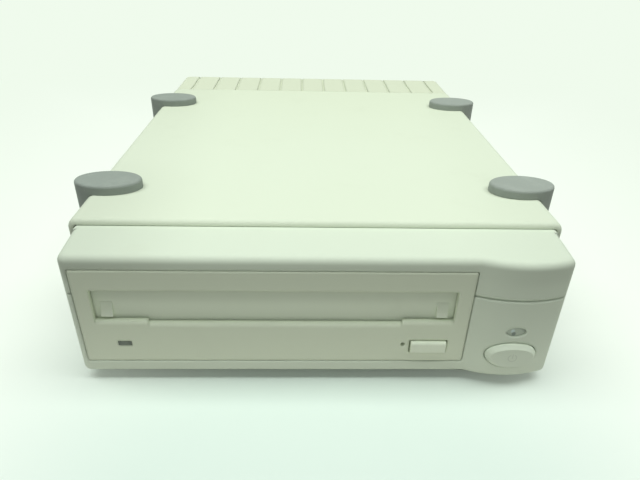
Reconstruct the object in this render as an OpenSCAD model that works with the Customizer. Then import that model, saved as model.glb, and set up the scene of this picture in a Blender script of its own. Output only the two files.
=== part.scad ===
// Desktop magneto-optical disk drive: a half-height drive beside its power supply in a plastic case.
// X runs to the right, Y from front to back and Z up, in millimetres. The origin lies on the surface
// that the feet stand on, under the middle of the whole object.

/* [Case] */
// Width that the case adds to the drive's faceplate
bay_w = 46.6; // [44:0.2:68]
// Height of the case without its feet
case_h = 56.3; // [55.5:0.1:70]
// Length of the top cover between the two bezels
cover_len = 194.2; // [192:0.1:230]
// Wall of the top cover
cover_wall = 2.4; // [1.8:0.1:3]
// Radius along the long edges of the top cover
cover_r = 4; // [3:0.5:6]
// Wall of the two bezels
bezel_wall = 2.5; // [2:0.1:2.8]
// Length of the tongues that the bezels push into the cover
tongue = 8; // [6:0.5:10]
// Thickness of the steel base pan
pan_t = 1.5; // [1:0.1:2]

/* [Front bezel] */
// Depth of the front bezel in front of the cover
front_depth = 22.5; // [20:0.5:30]
// How far each side leans in towards the face
front_lean = 1.4; // [0.4:0.1:2.4]
// Radius along the top of the face
front_r = 3; // [1.5:0.25:4]
// How far the bulge beside the drive stands out
bulge = 3.2; // [2:0.1:5]
// Height of the trim groove above the underside
groove_rise = 37.2; // [34.4:0.1:44.4]
// Width of the power button
power_w = 20; // [16:0.5:22]
// Height of the power button
power_h = 12; // [9:0.5:13]
// Middle of the power button above the underside
power_rise = 11.7; // [10.4:0.1:14.4]
// How far the power button stands out of the bulge
power_proud = 2; // [1:0.1:3]
// Chamfer round the front of the power button
power_edge = 1.5; // [0.6:0.1:1.8]
// Travel of the power button
power_travel = 3; // [2:0.1:4]
// Width of the power light
lens_w = 7.5; // [5:0.25:10]
// Height of the power light
lens_h = 4.2; // [3:0.1:5]
// Middle of the power light above the underside
lens_rise = 23.1; // [21.4:0.1:30.4]

/* [Rear bezel] */
// Depth of the rear bezel behind the cover
rear_depth = 38.8; // [32:0.1:50]
// How far each side leans in towards the back
rear_lean = 0.25; // [0.2:0.05:2]
// Number of grooves across the top
groove_count = 12; // [6:1:12]
// Spacing of the grooves
groove_pitch = 15.4; // [10:0.1:15.6]
// Width of a groove
groove_w = 1.4; // [1:0.1:2]
// How far the rear panel lies in from the back
recess = 6; // [4:0.5:8]

/* [Feet] */
// Length of a foot's oval across the case
foot_w = 28.4; // [24:0.2:34]
// Length of a foot's oval along the case
foot_d = 17.8; // [14:0.2:24]
// Thickness of a foot above and below the case
foot_h = 4.1; // [3:0.1:7]
// How far a foot stands out of the side
foot_out = 6.7; // [4:0.1:10]
// Middle of the front feet behind the face
foot_front = 52.5; // [45:0.5:65]
// Distance between the front and the rear feet
foot_span = 129.6; // [100:0.2:145]

/* [Drive] */
// Faceplate beside the cartridge
drive_rim = 6.1; // [5.7:0.1:6.8]
// Height of the drive's faceplate
drive_h = 41.9; // [41.3:0.1:42.8]
// Depth of the drive
drive_len = 203; // [200:0.5:208]
// Gap round the faceplate
drive_gap = 0.4; // [0.3:0.05:0.7]
// Width of the case left of the faceplate
drive_side = 7.3; // [7.3:0.1:8.3]
// Faceplate above the underside of the case
drive_rise = 6.1; // [5.7:0.1:7.4]
// Wall of the faceplate
plate_wall = 2.4; // [2:0.1:2.8]
// Depth of the faceplate
plate_depth = 9; // [8:0.25:11]
// Slot above the faceplate's lower edge
slot_rise = 19.2; // [18.5:0.1:20.1]
// Width of the eject button
eject_w = 13.8; // [11:0.2:16]
// Height of the eject button
eject_h = 4.9; // [4:0.1:6]
// How far the eject button stands out
eject_proud = 1.2; // [0.8:0.1:2]
// Travel of the eject button
eject_travel = 1.2; // [0.6:0.1:1.6]
// Width of the activity light
led_w = 5.1; // [3:0.1:7]
// Height of the activity light
led_h = 2; // [1.5:0.1:3]

/* [Mechanism] */
// Width of the disk cartridge
cart_w = 135; // [133:0.25:135.5]
// Thickness of the disk cartridge
cart_h = 11; // [10:0.1:11.4]
// Thickness of the slot door
door_t = 1.8; // [1.4:0.1:2.2]
// How far the cartridge holder sinks onto the spindle
lift = 5; // [4:0.1:6]
// Travel of the loading slider
slider_travel = 14; // [12:0.25:15]
// Travel of the optical head
seek = 30; // [26:0.5:31]
// Diameter of the guide rails
rail_d = 3; // [2:0.1:4]
// Teeth of the large loading gear
gear_teeth = 42; // [36:2:42]
// Teeth of the small gears
pinion_teeth = 14; // [14:1:15]

/* [Rear panel] */
// Width and height of the fan
fan_w = 40; // [30:1:40]
// Depth of the fan
fan_d = 10; // [8:0.5:12]
// Number of fan blades
blade_count = 7; // [5:1:9]

/* [Hidden] */
$fn = 48;

// Colours
ivory = [0.80, 0.81, 0.73];
rubber_grey = [0.40, 0.42, 0.40];
steel = [0.70, 0.71, 0.72];
dark = [0.12, 0.12, 0.13];
board_green = [0.10, 0.34, 0.20];
copper = [0.72, 0.42, 0.22];
brass = [0.78, 0.63, 0.32];
smoke = [0.35, 0.36, 0.34];

// Clearances
slip = 0.15;
seat = 0.1;
loose = 0.3;
running = 0.05;
free = 0.4;

// Levels, half widths and stations of the case, counted from the face of the front bezel
z_base = foot_h;
z_roof = foot_h + case_h;
z_pan = z_base + pan_t;
drive_w = cart_w + 2 * drive_rim;
half_w = (drive_w + bay_w) / 2;
in_w = half_w - cover_wall;
in_top = z_roof - cover_wall;
in_r = cover_r - cover_wall;
seam_f = front_depth;
seam_r = front_depth + cover_len;
y_back = seam_r + rear_depth;
front_out = bulge + power_proud;
mid_y = (y_back - front_out) / 2;
bezel_half = in_w - slip;
bezel_top = in_top - slip;
lip_r = cover_wall - 0.3;
hem_r = 0.6;

// Front bezel in plan: corner, concave blend and bulge are tangent arcs
sole_r = 2.2;
blend_r = 6;
open_r = 0.9;
groove_d = 0.8;
groove_h = 0.9;
bulge_margin = 0.8;
face_half = bezel_half - front_lean;
corner_r = max(front_r, sole_r) + 0.3;
side_a = atan(front_lean / (front_depth - corner_r));
hx = drive_side + drive_w / 2 - half_w;
open_right = hx + drive_w / 2 + drive_gap;
panel_x = (open_right + face_half) / 2;
bulge_c = (face_half - open_right) / 2 - bulge_margin;
bulge_r = (bulge_c * bulge_c + bulge * bulge) / (2 * bulge);
bulge_y = bulge_r - bulge;
blend_dx = sqrt(pow(bulge_r + blend_r, 2) - pow(bulge_y + blend_r, 2));
blend_a = atan2(bulge_y + blend_r, blend_dx);
tip_dx = face_half - corner_r - panel_x;
tip_dy = sqrt(pow(bulge_r - corner_r, 2) - tip_dx * tip_dx);
tip_a = -atan2(tip_dy, tip_dx);

// Power button, its push rod and its light
z_power = z_base + power_rise;
z_lens = z_base + lens_rise;
power_flange_y = 1.2;
power_flange_t = 1.5;
power_flange_rim = 1;
rod_w = 5;
rod_in = 5;
lens_in = 0.5;
lens_back = 4;
led_d = 3;
led_board_y = 10;
led_board_t = 1.6;
led_board_w = 17;
led_board_h = 10;
led_boss_dx = 6;
led_boss_d = 4;

// Rear bezel and rear panel
flush = 0.2;
rear_r = 2.5;
rear_sole_r = max(rear_r, sole_r) + 0.3;
panel_t = 1.2;
flange_t = 2;
flange_w = 3;
gusset = 9;
groove_cut = 0.8;
rear_gap = 0.4;
rear_room = 1.5;
cav_half = half_w - rear_lean - bezel_wall;
cav_low = z_pan + bezel_wall;
cav_top = z_roof - bezel_wall - rear_room;
panel_y = y_back - recess - panel_t;
panel_half = cav_half - 2 * seat;
panel_low = cav_low + 2 * seat;
panel_top = cav_top - 2 * seat;
z_mid = (panel_low + panel_top) / 2;

// Feet
foot_r = 1.2;
foot_ys = [foot_front, foot_front + foot_span];
foot_x = half_w + foot_out - foot_w / 2;
peg_r = 2.5;
peg_len = 2;
peg_z = z_base + case_h / 2;

// Screws
screw_r = 1.4;
screw_head_r = 2.8;
screw_head_t = 1.6;
screw_in = 6;
case_screw_x = 60;
case_screw_ys = [seam_f + tongue / 2, seam_r - tongue / 2];

// Drive: levels from its faceplate, and its sheet-metal body
sheet = 1.5;
z_d = z_base + drive_rise;
z_dt = z_d + drive_h;
body_inset = 0.6;
body_half = drive_w / 2 - body_inset;
wall_in = body_half - sheet;
lid_t = 1;
lid_drop = 0.4;
chassis_low = z_d + lid_drop;
floor_top = chassis_low + sheet;
chassis_high = z_dt - lid_drop - lid_t;
plate_in = drive_w / 2 - plate_wall;
plate_r = open_r - drive_gap;

// Slot, its door and the door's hinge
slot_side = 0.5;
slot_over = 1.1;
slot_under = 1.9;
slot_w = cart_w + 2 * slot_side;
slot_h = slot_under + cart_h + slot_over;
z_slot = z_d + slot_rise;
z_cart = z_slot + slot_under;
notch_w = 96.4;
notch_h = 1.1;
lip_d = 1.8;
lip_h = 1.6;
barrel_r = 1.5;
pin_r = 1;
hinge_y = plate_wall + free + barrel_r;
hinge_z = z_slot + slot_h + 2.9;
door_y = plate_wall + free;
door_half = slot_w / 2 + 0.5;
door_lap = 0.8;
ear_gap = 0.4;
ear_size = 5;
rib_w = 4.4;
rib_h = 6;
rib_out = 1.6;
rib_top_out = 0.1;
rib_rise = 1.2;
rib_x = slot_w / 2 - 4.7;
spring_notch = 6;
spring_x = -door_half + 3;
spring_turns = 5;
spring_wire = 0.25;
spring_r = pin_r + spring_wire + 0.15;
spring_leg = 6;

// Eject button, activity light and the emergency hole
eject_x = drive_w / 2 - 14.4;
eject_z = z_d + 7.4;
eject_gap = 0.6;
eject_r = 1.2;
eject_rim = 1.4;
eject_flange_t = 1;
eject_stem_r = 1.5;
eject_switch_y = 8;
eject_board_y = 13;
small_board_t = 1.6;
boss_r = 2;
led_x = 15.4 - drive_w / 2;
led_z = z_d + 8.6;
led_len = 9;
hole_x = drive_w / 2 - 24.4;
hole_z = z_d + 8.2;
hole_r = 0.9;

// Spindle from the back of the drive, then the cartridge holder and the loading slider
spindle_back = 112;
spindle_y = drive_len - spindle_back;
holder_y = [24, spindle_y + 69];
holder_sheet = 1;
holder_in = cart_w / 2 + slot_side + 0.2;
holder_out = holder_in + holder_sheet;
holder_lip = 8;
holder_low = z_cart - 0.2;
holder_high = z_slot + slot_h + 0.3;
guide_pin_r = 1.25;
guide_ys = [holder_y[0] + 22, spindle_y + 51];
guide_z = z_cart + 3.2;
slider_t = 1.2;
slider_in = wall_in - 0.5 - slider_t;
slider_low = guide_z - lift - 3;
slider_high = guide_z + 6;
slider_y = [40, drive_len - 13];
bridge_y = [drive_len - 27, drive_len - 15];
bridge_t = 1.2;
z_bridge = slider_low + 1.2;
shelf_t = 1;
shelf_len = 6;
shelf_ys = [60, spindle_y + 59];
coil_len = 46;
coil_half = 9;
coil_flange = 3;
coil_end = 4;
holder_hole_x = 40;
holder_hole_half = 18;
coil_h = 0.8;

// Loading gears: compound gear, motor pinion and rack
gear_m = 0.6;
rack_m = 0.8;
backlash = 0.14;
rack_pr = rack_m * pinion_teeth / 2;
gear_pr = gear_m * gear_teeth / 2;
motor_pr = gear_m * pinion_teeth / 2;
gear_x = 35;
gear_y = drive_len - 28;
motor_y = gear_y + gear_pr + motor_pr;
motor_r = 9;
gear_t = 2.8;
pinion_t = 3.5;
pinion_top = z_bridge - 1.2;
gear_top = pinion_top - pinion_t;
post_r = 1.5;
collar_r = 3;
motor_top = gear_top - gear_t - 0.9;
motor_shaft_r = 1;
rack_tip = rack_m * 0.8;
rack_root = rack_m * 1.15;
rack_back = 4.4;
rack_pitch = PI * rack_m;

// Spindle and optical head
turn_z = z_cart - 1.3;
turn_r = 13;
turn_t = 1.2;
cone_r = 2;
cone_h = 0.9;
shaft_r = 1.5;
cup_r = 15.5;
cup_in = 13.2;
cup_top = turn_z - 8;
cup_wall = 1.6;
core_r = 12.4;
motor_plate_r = 18;
motor_plate_t = 1.2;
hub_r = 6;
z_rail = z_cart - 12.9;
rail_x = 20;
bracket_t = 2;
bracket_half = 3;
head_y = [spindle_y + 20, spindle_y + 37];
rail_y = [head_y[0] - 7, head_y[1] + seek + bracket_t + 1];
lens_y = spindle_y + 28;
bias_fore = 8;
bias_y = [lens_y - bias_fore, lens_y - bias_fore + coil_len];
carriage_half = 16;
bush_half = 3.4;
coil_x = [24.7, 32.3];
coil_z = [-4.6, 6.6];
coil_wall = 2;
coil_y = [head_y[0] + 3, head_y[0] + 13];
yoke_in = [27.6, 29.4];
yoke_out = [33.4, 37];
yoke_z = [-2, 4];
yoke_rise = 6.5;
optic_x = [-34, 14];
optic_cut = 8;
optic_rim = 4;
optic_slot = [6, 2];
beam_r = 2.4;
beam_d = 12;
beam_rise = 2.5;
optic_y = [drive_len - 39, drive_len - 16];
lens_r = 3;

// Board of the drive
board_t = 1.2;
chip_h = 1.2;
board_side = 9;
board_half = body_half - board_side;
board_y = [30, drive_len - 2];
board_z = chassis_high - board_t - chip_h - loose;
header_x = -14;
header_w = 64;
header_h = 8;
header_d = 8;
power_plug_x = board_half - 16;
power_plug_w = 22;

// Mounting of the drive
bush_r = 5;
bush_side = 13;
bush_dx = body_half - bush_side;
bush_ys = [72, 158];

// Power supply
supply_x0 = hx + body_half + 3.5;
supply_x1 = bezel_half - pan_t - 1;
supply_x = (supply_x0 + supply_x1) / 2;
supply_y0 = seam_f + tongue + 2.5;
supply_y1 = seam_r - tongue - 2;
standoff_h = 2.2;
standoff_r = 3;
standoff_in = 4;
supply_z = z_pan + standoff_h + board_t;
switch_w = 13;
switch_d = 16;
switch_y = supply_y0 + 1;
switch_h = z_power + 6 - supply_z;
transformer_y = supply_y0 + 85;
capacitor_y = supply_y0 + 52;
capacitor_r = 11;
capacitor_h = 30;
capacitor_edge = 1;
transformer_w = 24;
transformer_d = 26;
transformer_h = 26;
core_leg = 5;
winding_d = 6;
winding_out = 2;
winding_side = 1;
heatsink_len = 34;
heatsink_h = 30;
fin_w = 20;
fin_t = 1.6;
fin_web = 2.4;
fin_first = 2;
fin_pitch = 5;
heatsink_y = supply_y0 + 120;
plug_w = 10;
plug_d = 8;
plug_h = 6;
plug_in = 1;
plug_y = supply_y1 - plug_d - 6;
plug_x = supply_x0 + plug_in + plug_w / 2;

// Rear panel fittings
inlet_x = panel_half - 20.65;
inlet_w = 27;
inlet_h = 20;
inlet_flange = 2;
inlet_flange_t = 1.8;
inlet_wall = 1.5;
inlet_depth = 22;
inlet_floor = 4;
blade_w = 2;
blade_h = 4;
blade_len = 13;
blade_dx = 7;
blade_dz = 2;
fan_x = inlet_x - inlet_w / 2 - inlet_flange - 3 - fan_w / 2;
fan_r = fan_w / 2 - 1.5;
fan_hole = fan_w / 2 - 4;
fan_hub_r = 9;
fan_shaft_r = 1.5;
blade_r = fan_r - 1.1;
blade_a = 40;
blade_chord = (fan_d - 3.2) / cos(blade_a);
id_x = 15.95 - panel_half;
port_x = id_x + 44;
port_dz = 9.5;
port_w = 50;
port_h = 12;
port_shell_w = 38;
port_shell_h = 9;
port_shell_r = 3;
port_shell_t = 1;
port_out = 4.5;
port_body_w = 45;
port_body_h = 11;
port_body_d = 10;
port_flange_t = 1;
id_w = 14;
id_frame = 1;
id_frame_t = 1.5;
id_depth = 9;
dial_r = 4;
dial_slot = 1.2;

// Wiring
ribbon_w = 60;
ribbon_t = 1;
ribbon_end = z_mid - port_dz - 4;
lead_r = 2;
mains_r = 1.2;
lead_sides = 8;
lead_y = (drive_len + 1 + panel_y - fan_d) / 2;
lead_z = z_mid + inlet_h / 2 + lead_r + 1.2;
supply_lead_path = [
    [plug_x, plug_y + plug_d / 2, supply_z + plug_h], [plug_x, plug_y + plug_d / 2, supply_z + plug_h + 8],
    [supply_x0 + 4, plug_y + 13, lead_z], [supply_x0 + 1, lead_y, lead_z],
    [supply_x0 - 14, lead_y, board_z - 4], [hx + power_plug_x + 6, lead_y, board_z - 4],
    [hx + power_plug_x, (lead_y + drive_len + 1) / 2, board_z - 4],
    [hx + power_plug_x, drive_len + 1, board_z - 4]];

// Point lists
function arc(c, r, from, to, n) =
    [for (i = [0:n]) let (a = from + (to - from) * i / n) c + r * [cos(a), sin(a)]];
function ellipse(a, b, n = 40) = [for (i = [0:n - 1]) [a * cos(360 * i / n), b * sin(360 * i / n)]];
function reverse(list) = [for (i = [len(list) - 1:-1:0]) list[i]];
// Steps of a quarter round, as [inset, rise], from the full inset to none
function rounding(r, n) = [for (i = [0:n]) [r * (1 - sin(90 * i / n)), r * (1 - cos(90 * i / n))]];
function level(points, z) = [for (p = points) [p.x, p.y, z]];
function station(points, y) = [for (p = points) [p.x, y, p.y]];
// Rectangle with round upper corners, clockwise as seen from the front
function arch(half, low, top, r) = concat(
    [[-half, low]],
    arc([r - half, top - r], r, 180, 90, 6),
    arc([half - r, top - r], r, 90, 0, 6),
    [[half, low]]);

// Solids between two limits on each axis
module block(x, y, z) {
    translate([x[0], y[0], z[0]]) cube([x[1] - x[0], y[1] - y[0], z[1] - z[0]]);
}

// Children drawn as (x, z), extruded along Y
module along_y(y) {
    translate([0, y[1], 0]) rotate([90, 0, 0]) linear_extrude(y[1] - y[0]) children();
}

// Children drawn as (y, z), extruded along X
module along_x(x) {
    translate([x[0], 0, 0]) rotate([90, 0, 90]) linear_extrude(x[1] - x[0]) children();
}

// Round bar along Y or X
module bar_y(x, y, z, r) {
    translate([x, y[0], z]) rotate([-90, 0, 0]) cylinder(r = r, h = y[1] - y[0]);
}

module bar_x(x, y, z, r) {
    translate([x[0], y, z]) rotate([0, 90, 0]) cylinder(r = r, h = x[1] - x[0]);
}

// Rectangle with round corners, about the origin
module slab(w, h, r) {
    square([w - 2 * r, h], center = true);
    square([w, h - 2 * r], center = true);
    for (sx = [-1, 1], sz = [-1, 1])
        translate([sx * (w / 2 - r), sz * (h / 2 - r)]) circle(r);
}

// Skin through a stack of rings with equal point counts
module loft(rings) {
    n = len(rings[0]);
    last = len(rings) - 1;
    sides = [for (k = [0:last - 1], i = [0:n - 1])
        let (j = (i + 1) % n, a = k * n + i, b = k * n + j, c = b + n, d = a + n)
        each [[a, c, b], [a, d, c]]];
    ends = [[for (i = [0:n - 1]) i], [for (i = [n - 1:-1:0]) last * n + i]];
    polyhedron(points = [for (ring = rings) each ring], faces = concat(sides, ends));
}

// Round lead swept along a path
function unit(v) = v / norm(v);
function heading(path, i) =
    unit(path[min(i + 1, len(path) - 1)] - path[max(i - 1, 0)]);
module lead(path, r) {
    loft([for (i = [0:len(path) - 1])
        let (t = heading(path, i), u = unit(cross(t, [0.3, 0.2, 0.93])), v = cross(t, u))
        [for (k = [0:lead_sides - 1])
            let (a = 360 * k / lead_sides) path[i] + r * (cos(a) * u + sin(a) * v)]]);
}

module centred() {
    translate([0, -mid_y, 0]) children();
}

module at_drive() {
    centred() translate([hx, 0, 0]) children();
}

// Outline of the front bezel in plan, inset by d, counter-clockwise as seen from above
function front_plan(d) = concat(
    [[d - bezel_half, front_depth]],
    arc([corner_r - face_half, corner_r], corner_r - d, 180 + side_a, 270, 6),
    arc([panel_x - blend_dx, -blend_r], blend_r + d, 90, blend_a, 4),
    arc([panel_x, bulge_y], bulge_r - d, 180 + blend_a, 360 + tip_a, 20),
    arc([panel_x + tip_dx, bulge_y - tip_dy], corner_r - d, 360 + tip_a, 360 - side_a, 6),
    [[bezel_half - d, front_depth]]);

module front_skin() {
    loft(concat(
        [for (s = rounding(sole_r, 5)) level(front_plan(s[0]), z_base + s[1])],
        [for (s = reverse(rounding(front_r, 5))) level(front_plan(s[0]), bezel_top - s[1])]));
}

// Ring that a bezel pushes into the cover, above the base pan
module tongue_ring(y) {
    along_y(y) difference() {
        polygon(arch(bezel_half, z_pan, bezel_top, in_r + 0.4));
        tongue_opening();
    }
}

module tongue_opening() {
    polygon(arch(bezel_half - bezel_wall, z_pan + bezel_wall, bezel_top - bezel_wall, 1));
}

module case_screw_bores(y) {
    for (side = [-1, 1])
        translate([side * case_screw_x, y, z_base - 1]) cylinder(r = screw_r + seat, h = screw_in + pan_t);
}

module front_bezel() {
    color(ivory) centred() difference() {
        union() {
            difference() {
                front_skin();
                translate([0, 0, z_base + bezel_wall]) linear_extrude(bezel_top - z_base - 2 * bezel_wall)
                    polygon(concat(front_plan(bezel_wall), [
                        [bezel_half - bezel_wall, seam_f + 1], [bezel_wall - bezel_half, seam_f + 1]]));
            }
            tongue_ring([seam_f - bezel_wall, seam_f + tongue]);
            for (side = [-1, 1])
                bar_y(panel_x + side * led_boss_dx, [-bulge / 2, led_board_y], z_lens, led_boss_d / 2);
        }
        translate([hx, 0, z_d + drive_h / 2]) along_y([-bulge - 1, seam_f - bezel_wall - 1])
            slab(drive_w + 2 * drive_gap, drive_h + 2 * drive_gap, open_r);
        translate([panel_x, 0, z_power]) along_y([-bulge - 1, bulge])
            polygon(ellipse(power_w / 2 + loose, power_h / 2 + loose));
        translate([panel_x, 0, z_lens]) along_y([-bulge - 1, bulge])
            polygon(ellipse(lens_w / 2 + seat, lens_h / 2 + seat));
        translate([0, 0, z_base + groove_rise]) linear_extrude(groove_h) difference() {
            polygon(front_plan(-1));
            polygon(front_plan(groove_d));
        }
        case_screw_bores(case_screw_ys[0]);
    }
}

module top_cover() {
    function outline(d) = arch(half_w - d, z_base, z_roof - d, cover_r - d);
    color(ivory) centred() difference() {
        loft(concat(
            [for (s = rounding(lip_r, 4)) station(outline(s[0]), seam_f + s[1])],
            [for (s = reverse(rounding(hem_r, 2))) station(outline(s[0]), seam_r - s[1])]));
        along_y([seam_f - 1, seam_r + 1]) polygon(arch(in_w, z_base - 1, in_top, in_r));
        for (y = foot_ys, side = [-1, 1])
            bar_x([side * in_w - cover_wall - 1, side * in_w + cover_wall + 1], y, peg_z, peg_r + seat);
    }
}

module base_pan() {
    color(steel) centred() difference() {
        union() {
            block([-bezel_half, bezel_half], [seam_f + flush, seam_r - flush], [z_base, z_pan]);
            for (side = [-1, 1]) scale_x(side)
                block([bezel_half - pan_t, bezel_half], [seam_f + tongue + 0.5, seam_r - tongue - 0.5],
                    [z_base, z_base + 12]);
            for (p = standoffs())
                translate([p.x, p.y, z_pan]) cylinder(r = standoff_r, h = standoff_h);
        }
        for (i = [0:8])
            block([supply_x - 9, supply_x + 9], [supply_y0 + 34 + 12 * i, supply_y0 + 37 + 12 * i],
                [z_base - 1, z_pan + 1]);
        for (y = case_screw_ys)
            case_screw_bores(y);
        for (side = [-1, 1], y = bush_ys)
            translate([hx + side * bush_dx, y, z_base - 1]) cylinder(r = screw_r + seat, h = pan_t + 2);
    }
}

// Mirror to the left side where side is -1
module scale_x(side) {
    mirror([side < 0 ? 1 : 0, 0, 0]) children();
}

function standoffs() = [for (x = [supply_x0 + standoff_in, supply_x1 - standoff_in],
    y = [supply_y0 + standoff_in, (supply_y0 + supply_y1) / 2, supply_y1 - standoff_in]) [x, y]];

function rear_outline(half, top, d) = concat(
    arc([rear_sole_r - half, z_base + rear_sole_r], rear_sole_r - d, 270, 180, 4),
    arc([cover_r - half, top - cover_r], cover_r - d, 180, 90, 6),
    arc([half - cover_r, top - cover_r], cover_r - d, 90, 0, 6),
    arc([half - rear_sole_r, z_base + rear_sole_r], rear_sole_r - d, 0, -90, 4));

module rear_skin() {
    back_half = half_w - rear_lean;
    top = z_roof - flush;
    loft(concat(
        [station(rear_outline(half_w - flush, top, 0), seam_r + rear_gap)],
        [for (s = reverse(rounding(rear_r, 4))) station(rear_outline(back_half, top, s[0]), y_back - s[1])]));
}

module rear_bezel() {
    groove_xs = [for (i = [0:groove_count - 1]) (i - (groove_count - 1) / 2) * groove_pitch];
    color(ivory) centred() difference() {
        union() {
            difference() {
                rear_skin();
                block([-cav_half, cav_half], [seam_r + bezel_wall, y_back + 1], [cav_low, cav_top]);
                along_y([seam_r - 1, seam_r + bezel_wall + 1]) tongue_opening();
            }
            tongue_ring([seam_r - tongue, seam_r + bezel_wall]);
            panel_flange();
        }
        for (x = groove_xs)
            block([x - groove_w / 2, x + groove_w / 2], [seam_r + rear_gap - 1, y_back + 1],
                [z_roof - flush - groove_cut, z_roof + 1]);
        case_screw_bores(case_screw_ys[1]);
        panel_screw_bores([panel_y - flange_t - 1, panel_y + 1]);
    }
}

module panel_flange() {
    along_y([panel_y - flange_t, panel_y]) {
        difference() {
            translate([-cav_half - 0.5, cav_low - 0.5]) square([2 * cav_half + 1, cav_top - cav_low + 1]);
            translate([flange_w - cav_half, cav_low + flange_w])
                square([2 * (cav_half - flange_w), cav_top - cav_low - 2 * flange_w]);
        }
        for (x = [-cav_half, cav_half - gusset], z = [cav_low, cav_top - gusset])
            translate([x, z]) square(gusset);
    }
}

module panel_screw_bores(y) {
    for (p = panel_screw_places())
        bar_y(p.x, y, p.y, screw_r + seat);
}

function panel_screw_places() = [for (x = [gusset / 2 - cav_half, cav_half - gusset / 2],
    z = [cav_low + gusset / 2, cav_top - gusset / 2]) [x, z]];

// Sheet-metal panel with cut-outs for the inlet, the ports, the address switch and the fan
module rear_panel() {
    color(steel) centred() difference() {
        along_y([panel_y, panel_y + panel_t]) difference() {
            translate([-panel_half, panel_low]) square([2 * panel_half, panel_top - panel_low]);
            translate([inlet_x, z_mid]) square([inlet_w + 2 * seat, inlet_h + 2 * seat], center = true);
            for (side = [-1, 1])
                translate([port_x, z_mid + side * port_dz])
                    slab(port_shell_w + 2 * seat, port_shell_h + 2 * seat, port_shell_r + seat);
            translate([id_x, z_mid]) square(id_w + 2 * seat, center = true);
            translate([fan_x, z_mid]) fan_grille();
        }
        panel_screw_bores([panel_y - 1, panel_y + panel_t + 1]);
        for (p = fan_corners())
            bar_y(p.x, [panel_y - 1, panel_y + panel_t + 1], p.y, screw_r + seat);
    }
}

// Level slots within the fan's circle
module fan_grille() {
    intersection() {
        circle(fan_r - 1);
        for (i = [-4:4])
            translate([0, i * 4]) square([2 * fan_r, 2.4], center = true);
    }
}

function fan_corners() = [for (sx = [-1, 1], sz = [-1, 1]) [fan_x + sx * fan_hole, z_mid + sz * fan_hole]];

// Rubber foot that wraps round the side of the case, so that the case also stands on its side
module foot(side, y) {
    outline = ellipse(foot_w / 2, foot_d / 2);
    function ring(d) = [for (p = ellipse(foot_w / 2 - d, foot_d / 2 - d)) p + [foot_x, y]];
    color(rubber_grey) centred() scale_x(side) {
        difference() {
            loft(concat(
                [for (s = rounding(foot_r, 3)) level(ring(s[0]), s[1])],
                [for (s = reverse(rounding(foot_r, 3))) level(ring(s[0]), z_roof + foot_h - s[1])]));
            along_y([y - foot_d, y + foot_d]) polygon(arch(half_w, z_base, z_roof, cover_r - free));
        }
        bar_x([in_w - peg_len, half_w + foot_out / 2], y, peg_z, peg_r);
    }
}

module foot_front_left() {
    foot(-1, foot_ys[0]);
}

module foot_front_right() {
    foot(1, foot_ys[0]);
}

module foot_rear_left() {
    foot(-1, foot_ys[1]);
}

module foot_rear_right() {
    foot(1, foot_ys[1]);
}

// Oval cap that follows the bulge, inset by d at its rim
module power_cap(d) {
    intersection() {
        translate([panel_x, 0, z_power]) along_y([-front_out - 1, power_flange_y + power_flange_t])
            polygon(ellipse(power_w / 2 - d, power_h / 2 - d));
        translate([panel_x, bulge_y, z_power - power_h])
            cylinder(r = bulge_r + power_proud - power_edge + d, h = 2 * power_h, $fn = 180);
    }
}

// Chamfered cap with its flange and push rod
module power_button() {
    color(ivory) centred() {
        hull() {
            power_cap(0);
            power_cap(power_edge);
        }
        translate([panel_x, 0, z_power]) along_y([power_flange_y, power_flange_y + power_flange_t])
            polygon(ellipse(power_w / 2 + power_flange_rim, power_h / 2 + power_flange_rim));
        block([panel_x - rod_w / 2, panel_x + rod_w / 2], [power_flange_y, switch_y + rod_in],
            [z_power - rod_w / 2, z_power + rod_w / 2]);
    }
}

module power_lens() {
    color(smoke) centred() intersection() {
        translate([panel_x, 0, z_lens]) along_y([-front_out, lens_back])
            polygon(ellipse(lens_w / 2, lens_h / 2));
        translate([panel_x, bulge_y, z_lens - lens_h])
            cylinder(r = bulge_r - lens_in, h = 2 * lens_h, $fn = 180);
    }
}

module power_led_board() {
    color(board_green) centred() {
        block([panel_x - led_board_w / 2, panel_x + led_board_w / 2],
            [led_board_y, led_board_y + led_board_t], [z_lens - led_board_h / 2, z_lens + led_board_h / 2]);
        bar_y(panel_x, [lens_back + led_d / 2 + loose, led_board_y], z_lens, led_d / 2);
        translate([panel_x, lens_back + led_d / 2 + loose, z_lens]) sphere(led_d / 2);
    }
}

// Latching mains switch on the front edge of the supply board
module power_switch() {
    bore = rod_w / 2 + loose;
    color(dark) centred() difference() {
        block([panel_x - switch_w / 2, panel_x + switch_w / 2], [switch_y, switch_y + switch_d],
            [supply_z, supply_z + switch_h]);
        block([panel_x - bore, panel_x + bore], [switch_y - 1, switch_y + rod_in + power_travel + loose],
            [z_power - bore, z_power + bore]);
    }
}

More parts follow.
